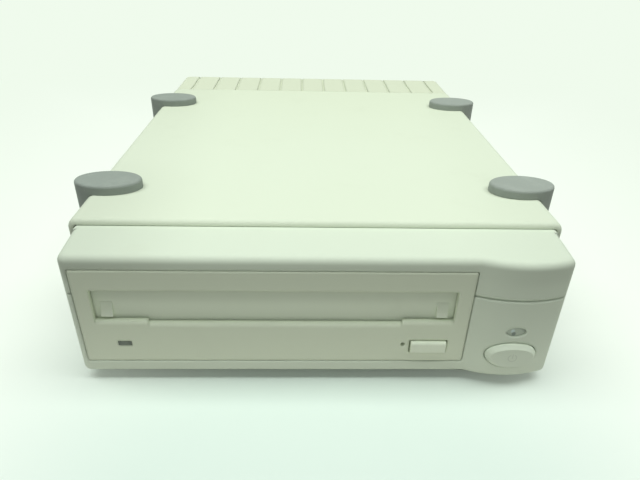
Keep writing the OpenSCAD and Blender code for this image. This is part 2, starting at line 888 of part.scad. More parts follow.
// Faceplate with the cartridge slot, its rolled lower lip and the ears of the door's hinge
module drive_faceplate() {
    color(ivory) at_drive() difference() {
        union() {
            difference() {
                translate([0, 0, z_d + drive_h / 2]) along_y([0, plate_depth])
                    slab(drive_w, drive_h, plate_r);
                block([-plate_in, plate_in], [plate_wall, plate_depth + 1],
                    [z_d + plate_wall, z_dt - plate_wall]);
            }
            for (side = [-1, 1]) scale_x(side)
                block([door_half + ear_gap, plate_in + 0.5], [plate_wall - 0.5, hinge_y + ear_size / 2],
                    [hinge_z - ear_size / 2, hinge_z + ear_size / 2]);
            for (p = eject_bosses())
                bar_y(p.x, [plate_wall - 0.5, eject_board_y], p.y, boss_r);
            for (side = [-1, 1])
                bar_y(led_x + side * (led_w / 2 + boss_r + 1.5), [plate_wall - 0.5, eject_board_y],
                    led_z, boss_r);
        }
        block([-slot_w / 2, slot_w / 2], [-1, plate_wall + 0.1], [z_slot, z_slot + slot_h]);
        block([-notch_w / 2, notch_w / 2], [-1, plate_wall + 0.1], [z_slot - notch_h, z_slot + 1]);
        slot_lip([-slot_w / 2, slot_w / 2], z_slot);
        slot_lip([-notch_w / 2, notch_w / 2], z_slot - notch_h);
        bar_x([-plate_in - 0.2, plate_in + 0.2], hinge_y, hinge_z, pin_r + running);
        translate([eject_x, 0, eject_z]) along_y([-1, plate_wall + 1])
            square([eject_w + 2 * eject_gap, eject_h + 2 * eject_gap], center = true);
        translate([led_x, 0, led_z]) along_y([-1, plate_wall + 1])
            square([led_w + 2 * seat, led_h + 2 * seat], center = true);
        bar_y(hole_x, [-1, plate_wall + 1], hole_z, hole_r);
    }
}

// What the quarter round of the slot's lower lip leaves away
module slot_lip(x, z) {
    along_x(x) difference() {
        translate([-1, z - lip_h]) square([lip_d + 1, lip_h + 1]);
        polygon(concat([[plate_wall, z - lip_h - 1], [0, z - lip_h - 1]],
            [for (a = [0:15:90]) [lip_d * (1 - cos(a)), z - lip_h + lip_h * sin(a)]],
            [[plate_wall, z]]));
    }
}

function eject_bosses() = [for (side = [-1, 1]) [eject_x + side * 5.5, eject_z + eject_h / 2 + 5]];

// Door behind the slot: it swings inward on its pins, with two wedge ribs that meet the cartridge
module slot_door() {
    low = z_slot - notch_h - door_lap;
    color(ivory) at_drive() {
        difference() {
            union() {
                block([-door_half, door_half], [door_y, door_y + door_t], [low, hinge_z]);
                bar_x([-door_half, door_half], hinge_y, hinge_z, barrel_r);
            }
            block([spring_x - spring_notch / 2, spring_x + spring_notch / 2], [0, 2 * hinge_y],
                [hinge_z - spring_r - spring_wire - free, hinge_z + 2 * barrel_r]);
        }
        bar_x([-door_half - 2.4, door_half + 2.4], hinge_y, hinge_z, pin_r);
        for (side = [-1, 1])
            along_x([side * rib_x - rib_w / 2, side * rib_x + rib_w / 2]) polygon([
                [door_y + 0.5, z_slot + rib_rise], [door_y - rib_out, z_slot + rib_rise],
                [door_y - rib_top_out, z_slot + rib_rise + rib_h],
                [door_y + 0.5, z_slot + rib_rise + rib_h]]);
    }
}

// Torsion spring wound round the hinge pin, with one leg down the back of the door
module door_spring() {
    steps = 12;
    pitch = 2 * spring_wire + free;
    start = spring_x - spring_turns * pitch / 2;
    turns = [for (i = [0:spring_turns * steps + steps / 4]) let (a = 360 * i / steps)
        [start + pitch * i / steps, hinge_y + spring_r * sin(a), hinge_z + spring_r * cos(a)]];
    end_x = turns[len(turns) - 1].x;
    leg = [[end_x, hinge_y + spring_r, hinge_z - spring_leg / 2],
        [end_x, door_y + door_t + spring_wire, hinge_z - spring_leg],
        [end_x, door_y + door_t + spring_wire, hinge_z - spring_leg - 1]];
    color(steel) at_drive() lead(concat([turns[0] - [2 * spring_wire, 0, 0]], turns, leg), spring_wire);
}

// Button with a round upper edge, its flange and its stem
module eject_button() {
    flange_y = plate_wall + loose;
    high = eject_z + eject_h / 2;
    color(ivory) at_drive() {
        along_x([eject_x - eject_w / 2, eject_x + eject_w / 2]) polygon(concat(
            [[flange_y + eject_flange_t, high - eject_h], [-eject_proud, high - eject_h]],
            arc([eject_r - eject_proud, high - eject_r], eject_r, 180, 90, 6),
            [[flange_y + eject_flange_t, high]]));
        translate([eject_x, 0, eject_z]) along_y([flange_y, flange_y + eject_flange_t])
            square([eject_w + 2 * eject_rim, eject_h + 2 * eject_rim], center = true);
        bar_y(eject_x, [flange_y, eject_switch_y + 1], eject_z, eject_stem_r);
    }
}

module eject_switch_board() {
    color(board_green) at_drive() {
        block([eject_x - 8, eject_x + 8], [eject_board_y, eject_board_y + small_board_t],
            [eject_z - 4, eject_z + eject_h / 2 + 8]);
        difference() {
            block([eject_x - 3.5, eject_x + 3.5], [eject_switch_y, eject_board_y],
                [eject_z - 3.5, eject_z + 3.5]);
            bar_y(eject_x, [eject_switch_y - 1, eject_switch_y + 1 + eject_travel + loose], eject_z,
                eject_stem_r + loose);
        }
    }
}

module activity_lens() {
    color(smoke) at_drive() translate([led_x, 0, led_z]) along_y([-0.1, led_len])
        square([led_w, led_h], center = true);
}

module activity_led_board() {
    color(board_green) at_drive() {
        block([led_x - 9, led_x + 9], [eject_board_y, eject_board_y + small_board_t], [led_z - 4, led_z + 6]);
        block([led_x - 2, led_x + 2], [led_len + loose, eject_board_y], [led_z - 1, led_z + 1]);
    }
}

// Steel tray of the drive with the posts, brackets and shelves of the mechanism
module drive_chassis() {
    color(steel) at_drive() difference() {
        union() {
            block([-body_half, body_half], [plate_depth, drive_len], [chassis_low, floor_top]);
            for (side = [-1, 1]) scale_x(side) {
                block([wall_in, body_half], [plate_depth, drive_len], [chassis_low, chassis_high]);
                for (y = [40, drive_len - 20])
                    block([board_half - 4, wall_in + 0.5], [y, y + 8], [board_z - sheet, board_z]);
                for (y = shelf_ys)
                    block([slider_in - 0.2, wall_in + 0.5], [y, y + shelf_len],
                        [slider_low - loose - shelf_t, slider_low - loose]);
                for (y = [rail_y[0], rail_y[1] - bracket_t])
                    block([rail_x - bracket_half, rail_x + bracket_half], [y, y + bracket_t],
                        [floor_top - 0.5, z_rail + bracket_half]);
            }
            block([-body_half, body_half], [drive_len - sheet, drive_len],
                [chassis_low, board_z - header_h - 2]);
            translate([gear_x, gear_y, floor_top - 0.5])
                cylinder(r = post_r, h = z_bridge - 0.8 - floor_top + 0.5);
            translate([gear_x, gear_y, floor_top - 0.5])
                cylinder(r = collar_r, h = gear_top - gear_t - loose - floor_top + 0.5);
        }
        for (side = [-1, 1], y = guide_ys)
            scale_x(side) along_x([wall_in - 1, body_half + 1])
                slot_path([y, guide_z], [y, guide_z - lift], guide_pin_r + seat);
        for (side = [-1, 1])
            bar_y(side * rail_x, [rail_y[0] - 1, rail_y[1] + 1], z_rail, rail_d / 2);
        for (side = [-1, 1], y = bush_ys)
            translate([side * bush_dx, y, chassis_low - 1]) cylinder(r = screw_r + seat, h = sheet + 2);
    }
}

// Slot with round ends between two points
module slot_path(a, b, r) {
    along = atan2(b.y - a.y, b.x - a.x);
    polygon(concat(arc(a, r, along + 90, along + 270, 12), arc(b, r, along - 90, along + 90, 12)));
}

module drive_cover() {
    color(steel) at_drive() difference() {
        union() {
            block([-body_half, body_half], [plate_depth, drive_len], [chassis_high, chassis_high + lid_t]);
            for (side = [-1, 1])
                block([side * 36 - 24, side * 36 + 24], [plate_depth + 30, drive_len - 30],
                    [chassis_high + lid_t, chassis_high + lid_t + 0.4]);
        }
        for (i = [0:7])
            block([-14 + 4 * i - 1, -14 + 4 * i + 1], [drive_len - 24, drive_len - 8],
                [chassis_high - 1, chassis_high + lid_t + 1]);
    }
}

// Main board with its chips, and the plugs at its back edge
module drive_board() {
    chips = [[-38, 70, 26, 26], [8, 60, 20, 20], [36, 96, 18, 14], [-30, 130, 20, 14], [12, 140, 28, 28]];
    color(board_green) at_drive() {
        block([-board_half, board_half], board_y, [board_z, board_z + board_t]);
        for (c = chips)
            translate([c[0], c[1], board_z + board_t]) cube([c[2], c[3], chip_h]);
        block([header_x - header_w / 2, header_x + header_w / 2], [board_y[1] - header_d, drive_len + 1],
            [board_z - header_h, board_z]);
        block([power_plug_x - power_plug_w / 2, power_plug_x + power_plug_w / 2],
            [board_y[1] - header_d, drive_len + 1], [board_z - header_h, board_z]);
    }
}

// Sheet-metal cage that takes the cartridge and sinks with it, on four guide pins
module cartridge_holder() {
    window = coil_half + loose;
    color(steel) at_drive() {
        difference() {
            along_y(holder_y) difference() {
                translate([-holder_out, holder_low - holder_sheet])
                    square([2 * holder_out, holder_high - holder_low + 2 * holder_sheet]);
                translate([-holder_in, holder_low]) square([2 * holder_in, holder_high - holder_low]);
                translate([holder_lip - holder_in, holder_low - holder_sheet - 1])
                    square([2 * (holder_in - holder_lip), holder_sheet + 2]);
            }
            block([-window, window], [bias_y[0] - loose, bias_y[1] + loose],
                [holder_high - 1, holder_high + holder_sheet + 1]);
            for (side = [-1, 1])
                block([side * holder_hole_x - holder_hole_half, side * holder_hole_x + holder_hole_half],
                    [holder_y[0] + 16, spindle_y - 1],
                    [holder_high - 1, holder_high + holder_sheet + 1]);
        }
        for (side = [-1, 1], y = guide_ys)
            scale_x(side) bar_x([holder_out - 0.5, body_half - 0.3], y, guide_z, guide_pin_r);
    }
}

// Coil that sets the write field, let into the top of the holder
module bias_coil() {
    color(copper) at_drive() {
        block([-coil_half, coil_half], bias_y, [holder_high + 0.1, holder_high + holder_sheet + coil_h]);
        block([-coil_half - coil_flange, coil_half + coil_flange],
            [bias_y[0] + coil_end, bias_y[1] - coil_end],
            [holder_high + holder_sheet, holder_high + holder_sheet + coil_h]);
    }
}

// Side plate whose slanted slots drive the guide pins down
module slider_plate() {
    along_x([slider_in, slider_in + slider_t]) difference() {
        translate([slider_y[0], slider_low]) square([slider_y[1] - slider_y[0], slider_high - slider_low]);
        for (y = guide_ys)
            slot_path([y, guide_z], [y + slider_travel, guide_z - lift], guide_pin_r + seat);
    }
}

module slider_left() {
    color(steel) at_drive() scale_x(-1) slider_plate();
}

module slider_right() {
    color(steel) at_drive() slider_plate();
}

// Plate that joins the two sliders, with the rack under it
module slider_bridge() {
    line = gear_x + rack_pr;
    count = ceil((slider_travel + 14) / rack_pitch);
    first = gear_y - 2.5 * rack_pitch;
    wide = rack_pitch / 4 - backlash / 2;
    function edge(depth) = wide - depth * tan(20);
    color(steel) at_drive() {
        block([-slider_in, slider_in], bridge_y, [z_bridge, z_bridge + bridge_t]);
        translate([0, 0, z_bridge - 4]) linear_extrude(4.4) {
            translate([line + rack_root, first - rack_pitch / 2])
                square([rack_back - rack_root, count * rack_pitch]);
            for (i = [0:count - 1]) translate([line, first + i * rack_pitch])
                polygon([[rack_root + 0.2, -edge(-rack_root)], [-rack_tip, -edge(rack_tip)],
                    [-rack_tip, edge(rack_tip)], [rack_root + 0.2, edge(-rack_root)]]);
        }
    }
}

// Involute gear outline with a tooth at the given angle
function involute(a) = tan(a) * 180 / PI - a;
function flank(r, base, half) = half + involute(20) - involute(r > base ? acos(base / r) : 0);
function polar(r, a) = [r * cos(a), r * sin(a)];
function gear_outline(teeth, m, at) =
    let (pr = m * teeth / 2, base = pr * cos(20), root = pr - 1.15 * m, tip = pr + 0.8 * m,
        half = 90 / teeth - backlash / pr * 90 / PI, radii = [root, max(base, root + 0.05), pr, tip])
    [for (k = [0:teeth - 1]) let (c = at + 360 * k / teeth)
        each concat([for (r = radii) polar(r, c - flank(r, base, half))],
            [for (r = reverse(radii)) polar(r, c + flank(r, base, half))])];

module loading_motor() {
    color(steel) at_drive() difference() {
        translate([gear_x, motor_y, floor_top]) cylinder(r = motor_r, h = motor_top - floor_top);
        translate([gear_x, motor_y, floor_top + 1]) cylinder(r = motor_shaft_r + running, h = motor_top);
    }
}

module motor_pinion() {
    color(brass) at_drive() translate([gear_x, motor_y, 0]) {
        translate([0, 0, gear_top - gear_t])
            linear_extrude(gear_t) polygon(gear_outline(pinion_teeth, gear_m, 270 + 180 / pinion_teeth));
        translate([0, 0, floor_top + 2]) cylinder(r = motor_shaft_r, h = gear_top - floor_top - 2);
    }
}

module loading_gear() {
    color(ivory) at_drive() translate([gear_x, gear_y, 0]) difference() {
        union() {
            translate([0, 0, gear_top - gear_t])
                linear_extrude(gear_t) polygon(gear_outline(gear_teeth, gear_m, 90));
            translate([0, 0, gear_top - 0.5])
                linear_extrude(pinion_t + 0.5) polygon(gear_outline(pinion_teeth, rack_m, 0));
        }
        cylinder(r = post_r + running, h = 2 * z_bridge);
    }
}

// Base plate and stator of the spindle motor
module spindle_motor() {
    color(dark) at_drive() translate([0, spindle_y, 0]) difference() {
        union() {
            translate([0, 0, floor_top]) cylinder(r = motor_plate_r, h = motor_plate_t);
            translate([0, 0, floor_top]) cylinder(r = core_r, h = cup_top - cup_wall - free - floor_top);
        }
        translate([0, 0, floor_top + 0.6]) cylinder(r = shaft_r + running, h = cup_top);
        for (i = [0:8])
            rotate(40 * i) translate([core_r - 3, 0, floor_top + motor_plate_t])
                block([0, 4], [-0.9, 0.9], [0, cup_top]);
    }
}

// Rotor cup, hub and table that the disk's hub sits on
module turntable() {
    color(steel) at_drive() translate([0, spindle_y, 0]) {
        difference() {
            translate([0, 0, floor_top + motor_plate_t + free])
                cylinder(r = cup_r, h = cup_top - floor_top - motor_plate_t - free);
            translate([0, 0, floor_top])
                cylinder(r = cup_in, h = cup_top - cup_wall - floor_top);
        }
        translate([0, 0, floor_top + 1]) cylinder(r = shaft_r, h = cup_top - floor_top - 1);
        translate([0, 0, cup_top - 0.5]) cylinder(r = hub_r, h = turn_z - turn_t - cup_top + 1);
        translate([0, 0, turn_z - turn_t]) cylinder(r = turn_r, h = turn_t);
        translate([0, 0, turn_z - 0.2]) cylinder(r1 = cone_r + 0.2, r2 = cone_r - 0.4, h = cone_h + 0.2);
    }
}

// Carriage of the objective lens on two guide rails
module head_carriage() {
    color(steel) at_drive() difference() {
        union() {
            block([-carriage_half, carriage_half], head_y, [z_rail - 1, z_rail + 6]);
            block([-coil_x[0], coil_x[0]], [coil_y[0] + 1, coil_y[1] - 1], [z_rail + 2, z_rail + 5]);
            for (side = [-1, 1])
                block([side * rail_x - bush_half, side * rail_x + bush_half], head_y,
                    [z_rail - bush_half, z_rail + bush_half]);
        }
        for (side = [-1, 1])
            bar_y(side * rail_x, [head_y[0] - 1, head_y[1] + 1], z_rail, rail_d / 2 + running);
        block([-carriage_half + 4, carriage_half - 4], [lens_y + lens_r + 2, head_y[1] - 2],
            [z_rail + 1, z_rail + 7]);
        translate([0, lens_y, z_rail - 2]) cylinder(r = lens_r - 0.8, h = 9);
    }
}

module carriage_coils() {
    color(copper) at_drive() for (side = [-1, 1]) scale_x(side) difference() {
        block(coil_x, coil_y, [z_rail + coil_z[0], z_rail + coil_z[1]]);
        block([coil_x[0] + coil_wall, coil_x[1] - coil_wall], [coil_y[0] - 1, coil_y[1] + 1],
            [z_rail + coil_z[0] + coil_wall, z_rail + coil_z[1] - coil_wall]);
    }
}

module objective_lens() {
    color(smoke) at_drive() translate([0, lens_y, z_rail + 6]) {
        cylinder(r = lens_r, h = 1);
        translate([0, 0, 1]) cylinder(r1 = lens_r - 0.4, r2 = lens_r - 1.4, h = 0.9);
    }
}

module guide_rails() {
    color(steel) at_drive() for (side = [-1, 1])
        bar_y(side * rail_x, rail_y, z_rail, rail_d / 2);
}

// Magnet yokes: the inner bar runs through the coil
module coil_yokes() {
    z = [z_rail + yoke_z[0], z_rail + yoke_z[1]];
    color(dark) at_drive() for (side = [-1, 1]) scale_x(side) {
        block(yoke_in, rail_y, z);
        block(yoke_out, rail_y, [floor_top, z_rail + yoke_rise]);
        for (y = [rail_y[0], rail_y[1] - bracket_t])
            block([yoke_in[0], yoke_out[0] + 0.5], [y, y + bracket_t], z);
    }
}

// Casting of the fixed optics with its beam window
module optics_block() {
    color(steel) at_drive() difference() {
        translate([0, 0, floor_top]) linear_extrude(z_bridge - 2 - floor_top) polygon([
            [optic_x[0] + optic_cut, optic_y[0]], [optic_x[1], optic_y[0]], [optic_x[1], optic_y[1]],
            [optic_x[0], optic_y[1]], [optic_x[0], optic_y[0] + optic_cut]]);
        bar_y(0, [optic_y[0] - 1, optic_y[0] + beam_d], z_rail + beam_rise, beam_r);
        block([optic_x[0] + optic_rim, optic_x[1] - optic_rim],
            [optic_y[1] - optic_slot[0], optic_y[1] - optic_slot[1]], [z_rail + optic_rim, z_bridge]);
    }
}

// Rubber bushes between the base pan and the drive
module drive_bushes() {
    color(dark) at_drive() for (side = [-1, 1], y = bush_ys)
        translate([side * bush_dx, y, z_pan]) difference() {
            cylinder(r = bush_r, h = chassis_low - z_pan);
            translate([0, 0, -1]) cylinder(r = screw_r + seat, h = drive_rise + pan_t + 2);
        }
}

// Pan-head screw pointing up, with its head below z
module screw_up(x, y, z, length) {
    translate([x, y, z]) cylinder(r = screw_r, h = length);
    translate([x, y, z - screw_head_t]) cylinder(r = screw_head_r, h = screw_head_t);
}

module drive_screws() {
    color(steel) at_drive() for (side = [-1, 1], y = bush_ys)
        screw_up(side * bush_dx, y, z_base, floor_top - z_base + 1);
}

module case_screws() {
    color(steel) centred() for (side = [-1, 1], y = case_screw_ys)
        screw_up(side * case_screw_x, y, z_base, pan_t + bezel_wall);
}

module screw_in_panel(p, y, length) {
    bar_y(p.x, [y - length, y], p.y, screw_r);
    bar_y(p.x, [y, y + screw_head_t], p.y, screw_head_r);
}

module panel_screws() {
    color(steel) centred() for (p = panel_screw_places())
        screw_in_panel(p, panel_y + panel_t, panel_t + flange_t);
}

module fan_screws() {
    color(steel) centred() for (p = fan_corners())
        screw_in_panel(p, panel_y + panel_t, panel_t + fan_d - 2);
}

// Supply board with the plug of the drive's lead
module supply_board() {
    color(board_green) centred() {
        block([supply_x0, supply_x1], [supply_y0, supply_y1], [supply_z - board_t, supply_z]);
        block([plug_x - plug_w / 2, plug_x + plug_w / 2], [plug_y, plug_y + plug_d],
            [supply_z, supply_z + plug_h]);
    }
}

// Ferrite core round its winding
module supply_transformer() {
    y = [transformer_y, transformer_y + transformer_d];
    z = [supply_z + core_leg, supply_z + transformer_h - core_leg];
    half = transformer_w / 2;
    color(dark) centred() difference() {
        block([supply_x - half, supply_x + half], y, [supply_z, supply_z + transformer_h]);
        for (end = [[y[0] - 1, y[0] + winding_d], [y[1] - winding_d, y[1] + 1]])
            block([supply_x - half - 1, supply_x + half + 1], end, z);
    }
    color(copper) centred()
        for (end = [[y[0] - winding_out, y[0] + winding_d], [y[1] - winding_d, y[1] + winding_out]])
            block([supply_x - half + winding_side, supply_x + half - winding_side], end, z);
}

module supply_capacitor() {
    color(dark) centred() translate([supply_x, capacitor_y, supply_z]) {
        cylinder(r = capacitor_r, h = capacitor_h - capacitor_edge);
        translate([0, 0, capacitor_h - capacitor_edge])
            cylinder(r1 = capacitor_r, r2 = capacitor_r - capacitor_edge, h = capacitor_edge);
    }
}

// Finned extrusion along the supply board
module supply_heatsink() {
    color(steel) centred() along_y([heatsink_y, heatsink_y + heatsink_len]) {
        translate([supply_x - fin_web / 2, supply_z]) square([fin_web, heatsink_h]);
        for (i = [0:5])
            translate([supply_x - fin_w / 2, supply_z + fin_first + fin_pitch * i]) square([fin_w, fin_t]);
    }
}

// Mains inlet: a flanged socket whose cavity has two cut corners
module mains_inlet() {
    cut = 4;
    half = inlet_w / 2 - inlet_wall;
    high = inlet_h / 2 - inlet_wall;
    color(dark) centred() translate([inlet_x, 0, z_mid]) difference() {
        union() {
            along_y([panel_y - inlet_depth, panel_y + panel_t]) square([inlet_w, inlet_h], center = true);
            along_y([panel_y + panel_t, panel_y + panel_t + inlet_flange_t])
                slab(inlet_w + 2 * inlet_flange, inlet_h + 2 * inlet_flange, 2);
        }
        along_y([panel_y - inlet_depth + inlet_floor, panel_y + panel_t + inlet_flange_t + 1]) polygon([
            [-half, -high], [half, -high], [half, high - cut], [half - cut, high],
            [cut - half, high], [-half, high - cut]]);
        for (p = blade_places())
            along_y([panel_y - inlet_depth - 1, panel_y]) translate(p)
                square([blade_w + 2 * seat, blade_h + 2 * seat], center = true);
    }
}

function blade_places() = [[-blade_dx, -blade_dz], [blade_dx, -blade_dz], [0, blade_dz]];

module inlet_pins() {
    start = panel_y - inlet_depth - 5;
    color(brass) centred() translate([inlet_x, 0, z_mid]) for (p = blade_places())
        along_y([start, start + 5 + inlet_floor + blade_len]) translate(p)
            square([blade_w, blade_h], center = true);
}

// Two leads from the inlet to the supply board
module mains_leads() {
    top = z_mid - blade_dz;
    y = panel_y - inlet_depth - 5;
    color(copper) centred() for (side = [-1, 1])
        let (x = inlet_x + side * blade_dx)
            lead([[x, y, top], [x, y - 3, top], [x, y - 6, top - 3], [x, y - 8, top - 8],
                [x, supply_y1 - 4, supply_z + 6], [x, supply_y1 - 4, supply_z]], mains_r);
}

module supply_lead() {
    color(dark) centred() lead(supply_lead_path, lead_r);
}

// Flat cable from the drive's plug down to the two ports
module ribbon_cable() {
    y0 = drive_len + 1;
    y1 = panel_y - port_body_d - loose - ribbon_t / 2;
    z1 = board_z - header_h / 2;
    ribbon_r = min(8, (y1 - y0) / 3);
    color(smoke) at_drive() along_x([header_x - ribbon_w / 2, header_x + ribbon_w / 2]) {
        translate([y0, z1 - ribbon_t / 2]) square([y1 - ribbon_r - y0, ribbon_t]);
        translate([y1 - ribbon_r, z1 - ribbon_r]) intersection() {
            difference() {
                circle(ribbon_r + ribbon_t / 2);
                circle(ribbon_r - ribbon_t / 2);
            }
            square(2 * ribbon_r);
        }
        translate([y1 - ribbon_t / 2, ribbon_end]) square([ribbon_t, z1 - ribbon_r - ribbon_end]);
    }
}

module fan_frame() {
    y = [panel_y - fan_d, panel_y];
    color(dark) centred() difference() {
        union() {
            translate([fan_x, 0, z_mid]) along_y(y) difference() {
                slab(fan_w, fan_w, 3);
                circle(fan_r);
            }
            translate([fan_x, 0, z_mid]) along_y([y[0], y[0] + 1.5]) {
                circle(fan_hub_r);
                for (a = [45:90:315])
                    rotate(a) translate([0, -1.2]) square([fan_r + 0.5, 2.4]);
            }
            bar_y(fan_x, [y[0], y[0] + 5], z_mid, 2.8);
        }
        bar_y(fan_x, [y[0] + 0.6, y[1]], z_mid, fan_shaft_r + running);
        for (p = fan_corners())
            bar_y(p.x, [y[0] - 1, y[1] + 1], p.y, screw_r + seat);
    }
}

// Hub cup with pitched blades on a short shaft
module fan_rotor() {
    y0 = panel_y - fan_d + 2;
    y1 = panel_y - 0.7;
    color(dark) centred() translate([fan_x, 0, z_mid]) {
        difference() {
            bar_y(0, [y0, y1], 0, fan_hub_r - 0.5);
            bar_y(0, [y0 - 1, y1 - 1.2], 0, fan_hub_r - 1.7);
        }
        bar_y(0, [y0 - 1, y1 - 0.6], 0, fan_shaft_r);
        for (i = [0:blade_count - 1])
            rotate([0, 360 / blade_count * i, 0]) translate([0, (y0 + y1) / 2, 0]) rotate([blade_a, 0, 0])
                block([fan_hub_r - 1, blade_r], [-blade_chord / 2, blade_chord / 2], [-0.4, 0.4]);
    }
}

// Bus port: metal shell round a filled insert, with its body behind the panel
module bus_port(dz) {
    color(steel) centred() translate([port_x, 0, z_mid + dz]) difference() {
        union() {
            along_y([panel_y - port_body_d, panel_y]) square([port_body_w, port_body_h], center = true);
            along_y([panel_y, panel_y + panel_t + port_out]) slab(port_shell_w, port_shell_h, port_shell_r);
            for (side = [-1, 1])
                along_y([panel_y + panel_t, panel_y + panel_t + 2]) translate([side * (port_w / 2 - 2.5), 0])
                    square([5, port_h - 4], center = true);
            for (side = [-1, 1])
                along_y([panel_y + panel_t, panel_y + panel_t + port_flange_t])
                    translate([side * (port_w + port_shell_w) / 4, 0])
                        square([(port_w - port_shell_w) / 2 + 1, port_h], center = true);
        }
        along_y([panel_y + panel_t + 0.5, panel_y + panel_t + port_out + 1]) difference() {
            slab(port_shell_w - 2 * port_shell_t, port_shell_h - 2 * port_shell_t,
                port_shell_r - port_shell_t);
            square([port_shell_w - 6, 3.4], center = true);
        }
    }
}

module bus_port_upper() {
    bus_port(port_dz);
}

module bus_port_lower() {
    bus_port(-port_dz);
}

module id_switch() {
    color(dark) centred() translate([id_x, 0, z_mid]) difference() {
        union() {
            along_y([panel_y - id_depth, panel_y + panel_t]) square(id_w, center = true);
            along_y([panel_y + panel_t, panel_y + panel_t + id_frame_t])
                square(id_w + 2 * id_frame, center = true);
        }
        bar_y(0, [panel_y - id_depth + 1, panel_y + panel_t + id_frame_t + 1], 0, dial_r + running);
    }
}

// Address dial, turned with a screwdriver
module id_dial() {
    front = panel_y + panel_t + id_frame_t;
    color(ivory) centred() translate([id_x, 0, z_mid]) difference() {
        bar_y(0, [panel_y - id_depth + 1, front], 0, dial_r);
        block([-dial_slot / 2, dial_slot / 2], [front - 1, front + 1], [0.6 - dial_r, dial_r - 0.6]);
        translate([0, front - 0.6, dial_r - 1]) rotate([-90, 0, 0]) cylinder(r = 0.5, h = 2);
    }
}

front_bezel();
top_cover();
base_pan();
rear_bezel();
rear_panel();
foot_front_left();
foot_front_right();
foot_rear_left();
foot_rear_right();
power_button();
power_lens();
power_led_board();
power_switch();
drive_faceplate();
slot_door();
door_spring();
eject_button();
eject_switch_board();
activity_lens();
activity_led_board();
drive_chassis();
drive_cover();
drive_board();
cartridge_holder();
bias_coil();
slider_left();
slider_right();
slider_bridge();
loading_motor();
motor_pinion();
loading_gear();
spindle_motor();
turntable();
head_carriage();
carriage_coils();
objective_lens();
guide_rails();
coil_yokes();
optics_block();
drive_bushes();
drive_screws();
supply_board();
supply_transformer();
supply_capacitor();
supply_heatsink();
mains_inlet();
inlet_pins();
mains_leads();
supply_lead();
ribbon_cable();
fan_frame();
fan_rotor();
fan_screws();
bus_port_upper();
bus_port_lower();
id_switch();
id_dial();
case_screws();
panel_screws();
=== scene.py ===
"""Finishes, rounded edges, small fittings and a studio for a desktop magneto-optical drive."""

import math

import bmesh
import bpy
from bpy.props import FloatProperty, FloatVectorProperty, IntProperty, PointerProperty
from bpy.types import Operator, Panel, PropertyGroup
from mathutils import Matrix, Vector


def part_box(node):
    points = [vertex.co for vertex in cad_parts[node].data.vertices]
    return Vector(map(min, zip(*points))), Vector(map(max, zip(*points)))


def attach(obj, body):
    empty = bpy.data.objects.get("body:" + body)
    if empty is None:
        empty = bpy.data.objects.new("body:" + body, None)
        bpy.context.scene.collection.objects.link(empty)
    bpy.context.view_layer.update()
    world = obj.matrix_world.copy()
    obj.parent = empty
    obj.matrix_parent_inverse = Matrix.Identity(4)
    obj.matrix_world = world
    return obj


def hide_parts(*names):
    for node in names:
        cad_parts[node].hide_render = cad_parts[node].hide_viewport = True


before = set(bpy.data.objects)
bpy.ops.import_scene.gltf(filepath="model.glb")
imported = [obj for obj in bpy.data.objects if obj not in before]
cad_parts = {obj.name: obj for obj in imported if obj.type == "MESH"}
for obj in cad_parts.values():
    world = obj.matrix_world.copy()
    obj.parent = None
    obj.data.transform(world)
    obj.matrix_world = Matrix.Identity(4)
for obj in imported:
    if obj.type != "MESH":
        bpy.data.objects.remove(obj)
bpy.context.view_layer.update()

bl_info = {
    "name": "Magneto-optical drive",
    "version": (1, 0, 0),
    "blender": (4, 5, 0),
    "location": "3D View > Sidebar > Drive",
    "description": "Dresses the packed solids of a desktop magneto-optical drive",
    "category": "Object",
}

MM = 0.001

FEET = ("foot_front_left", "foot_front_right", "foot_rear_left", "foot_rear_right")
SHEET_PIECES = ("base_pan", "rear_panel", "drive_chassis", "drive_cover", "cartridge_holder")
SLIDER_PIECES = ("slider_left", "slider_right", "slider_bridge")
TURNED_PIECES = ("turntable", "guide_rails", "loading_motor", "door_spring")
CAST_PIECES = ("head_carriage", "optics_block", "supply_heatsink")
DARK_PIECES = ("power_switch", "mains_inlet", "fan_frame", "fan_rotor", "id_switch")
BUS_PORTS = ("bus_port_upper", "bus_port_lower")
BOARDS = ("drive_board", "supply_board", "power_led_board", "eject_switch_board", "activity_led_board")

# Nodes that hold screws, and the way in which these are driven.
SCREW_WAYS = {
    "case_screws": (0.0, 0.0, 1.0),
    "drive_screws": (0.0, 0.0, 1.0),
    "panel_screws": (0.0, -1.0, 0.0),
    "fan_screws": (0.0, -1.0, 0.0),
}

# A screw's low domed head.
HEAD_RADIUS, HEAD_SIDE, HEAD_DOME = 2.8 * MM, 0.5 * MM, 1.1 * MM
HEAD_HEIGHT = HEAD_SIDE + HEAD_DOME

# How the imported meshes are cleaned; angles are in degrees.
WELD_REACH = 0.004 * MM
FLAT_ANGLE, SHARP_ANGLE, BEVEL_ANGLE = 0.4, 32.0, 38.0
NORMAL_WEIGHT = 80

# The camera stands where the photograph was taken from, in metres and degrees.
CAMERA_PLACE = (-6.08 * MM, -283.01 * MM, 157.36 * MM)
CAMERA_PITCH, CAMERA_YAW, CAMERA_ROLL = 30.2, 2.12, 1.53

# Places of the soft boxes, and their widths and depths, in metres.
KEY_PLACE, KEY_SIZE = (0.0, -0.08, 1.9), (3.6, 0.9)
FILL_PLACE, FILL_SIZE = (0.0, -1.25, 1.0), (2.0, 0.8)

# The floor, in metres: a disc with painted shade, darkest in an oval in front of the object.
FLOOR_RADIUS = 4.0
SHADE_AHEAD, SHADE_NARROWING = 0.22, 1.5
SHADE_FULL, SHADE_END = 0.09, 0.29

# How far the object reaches to its sides and ends, and its shadow beyond it, in metres.
CASE_SIDE, CASE_END = 0.105, 0.13
SHADOW_REACH = 0.25


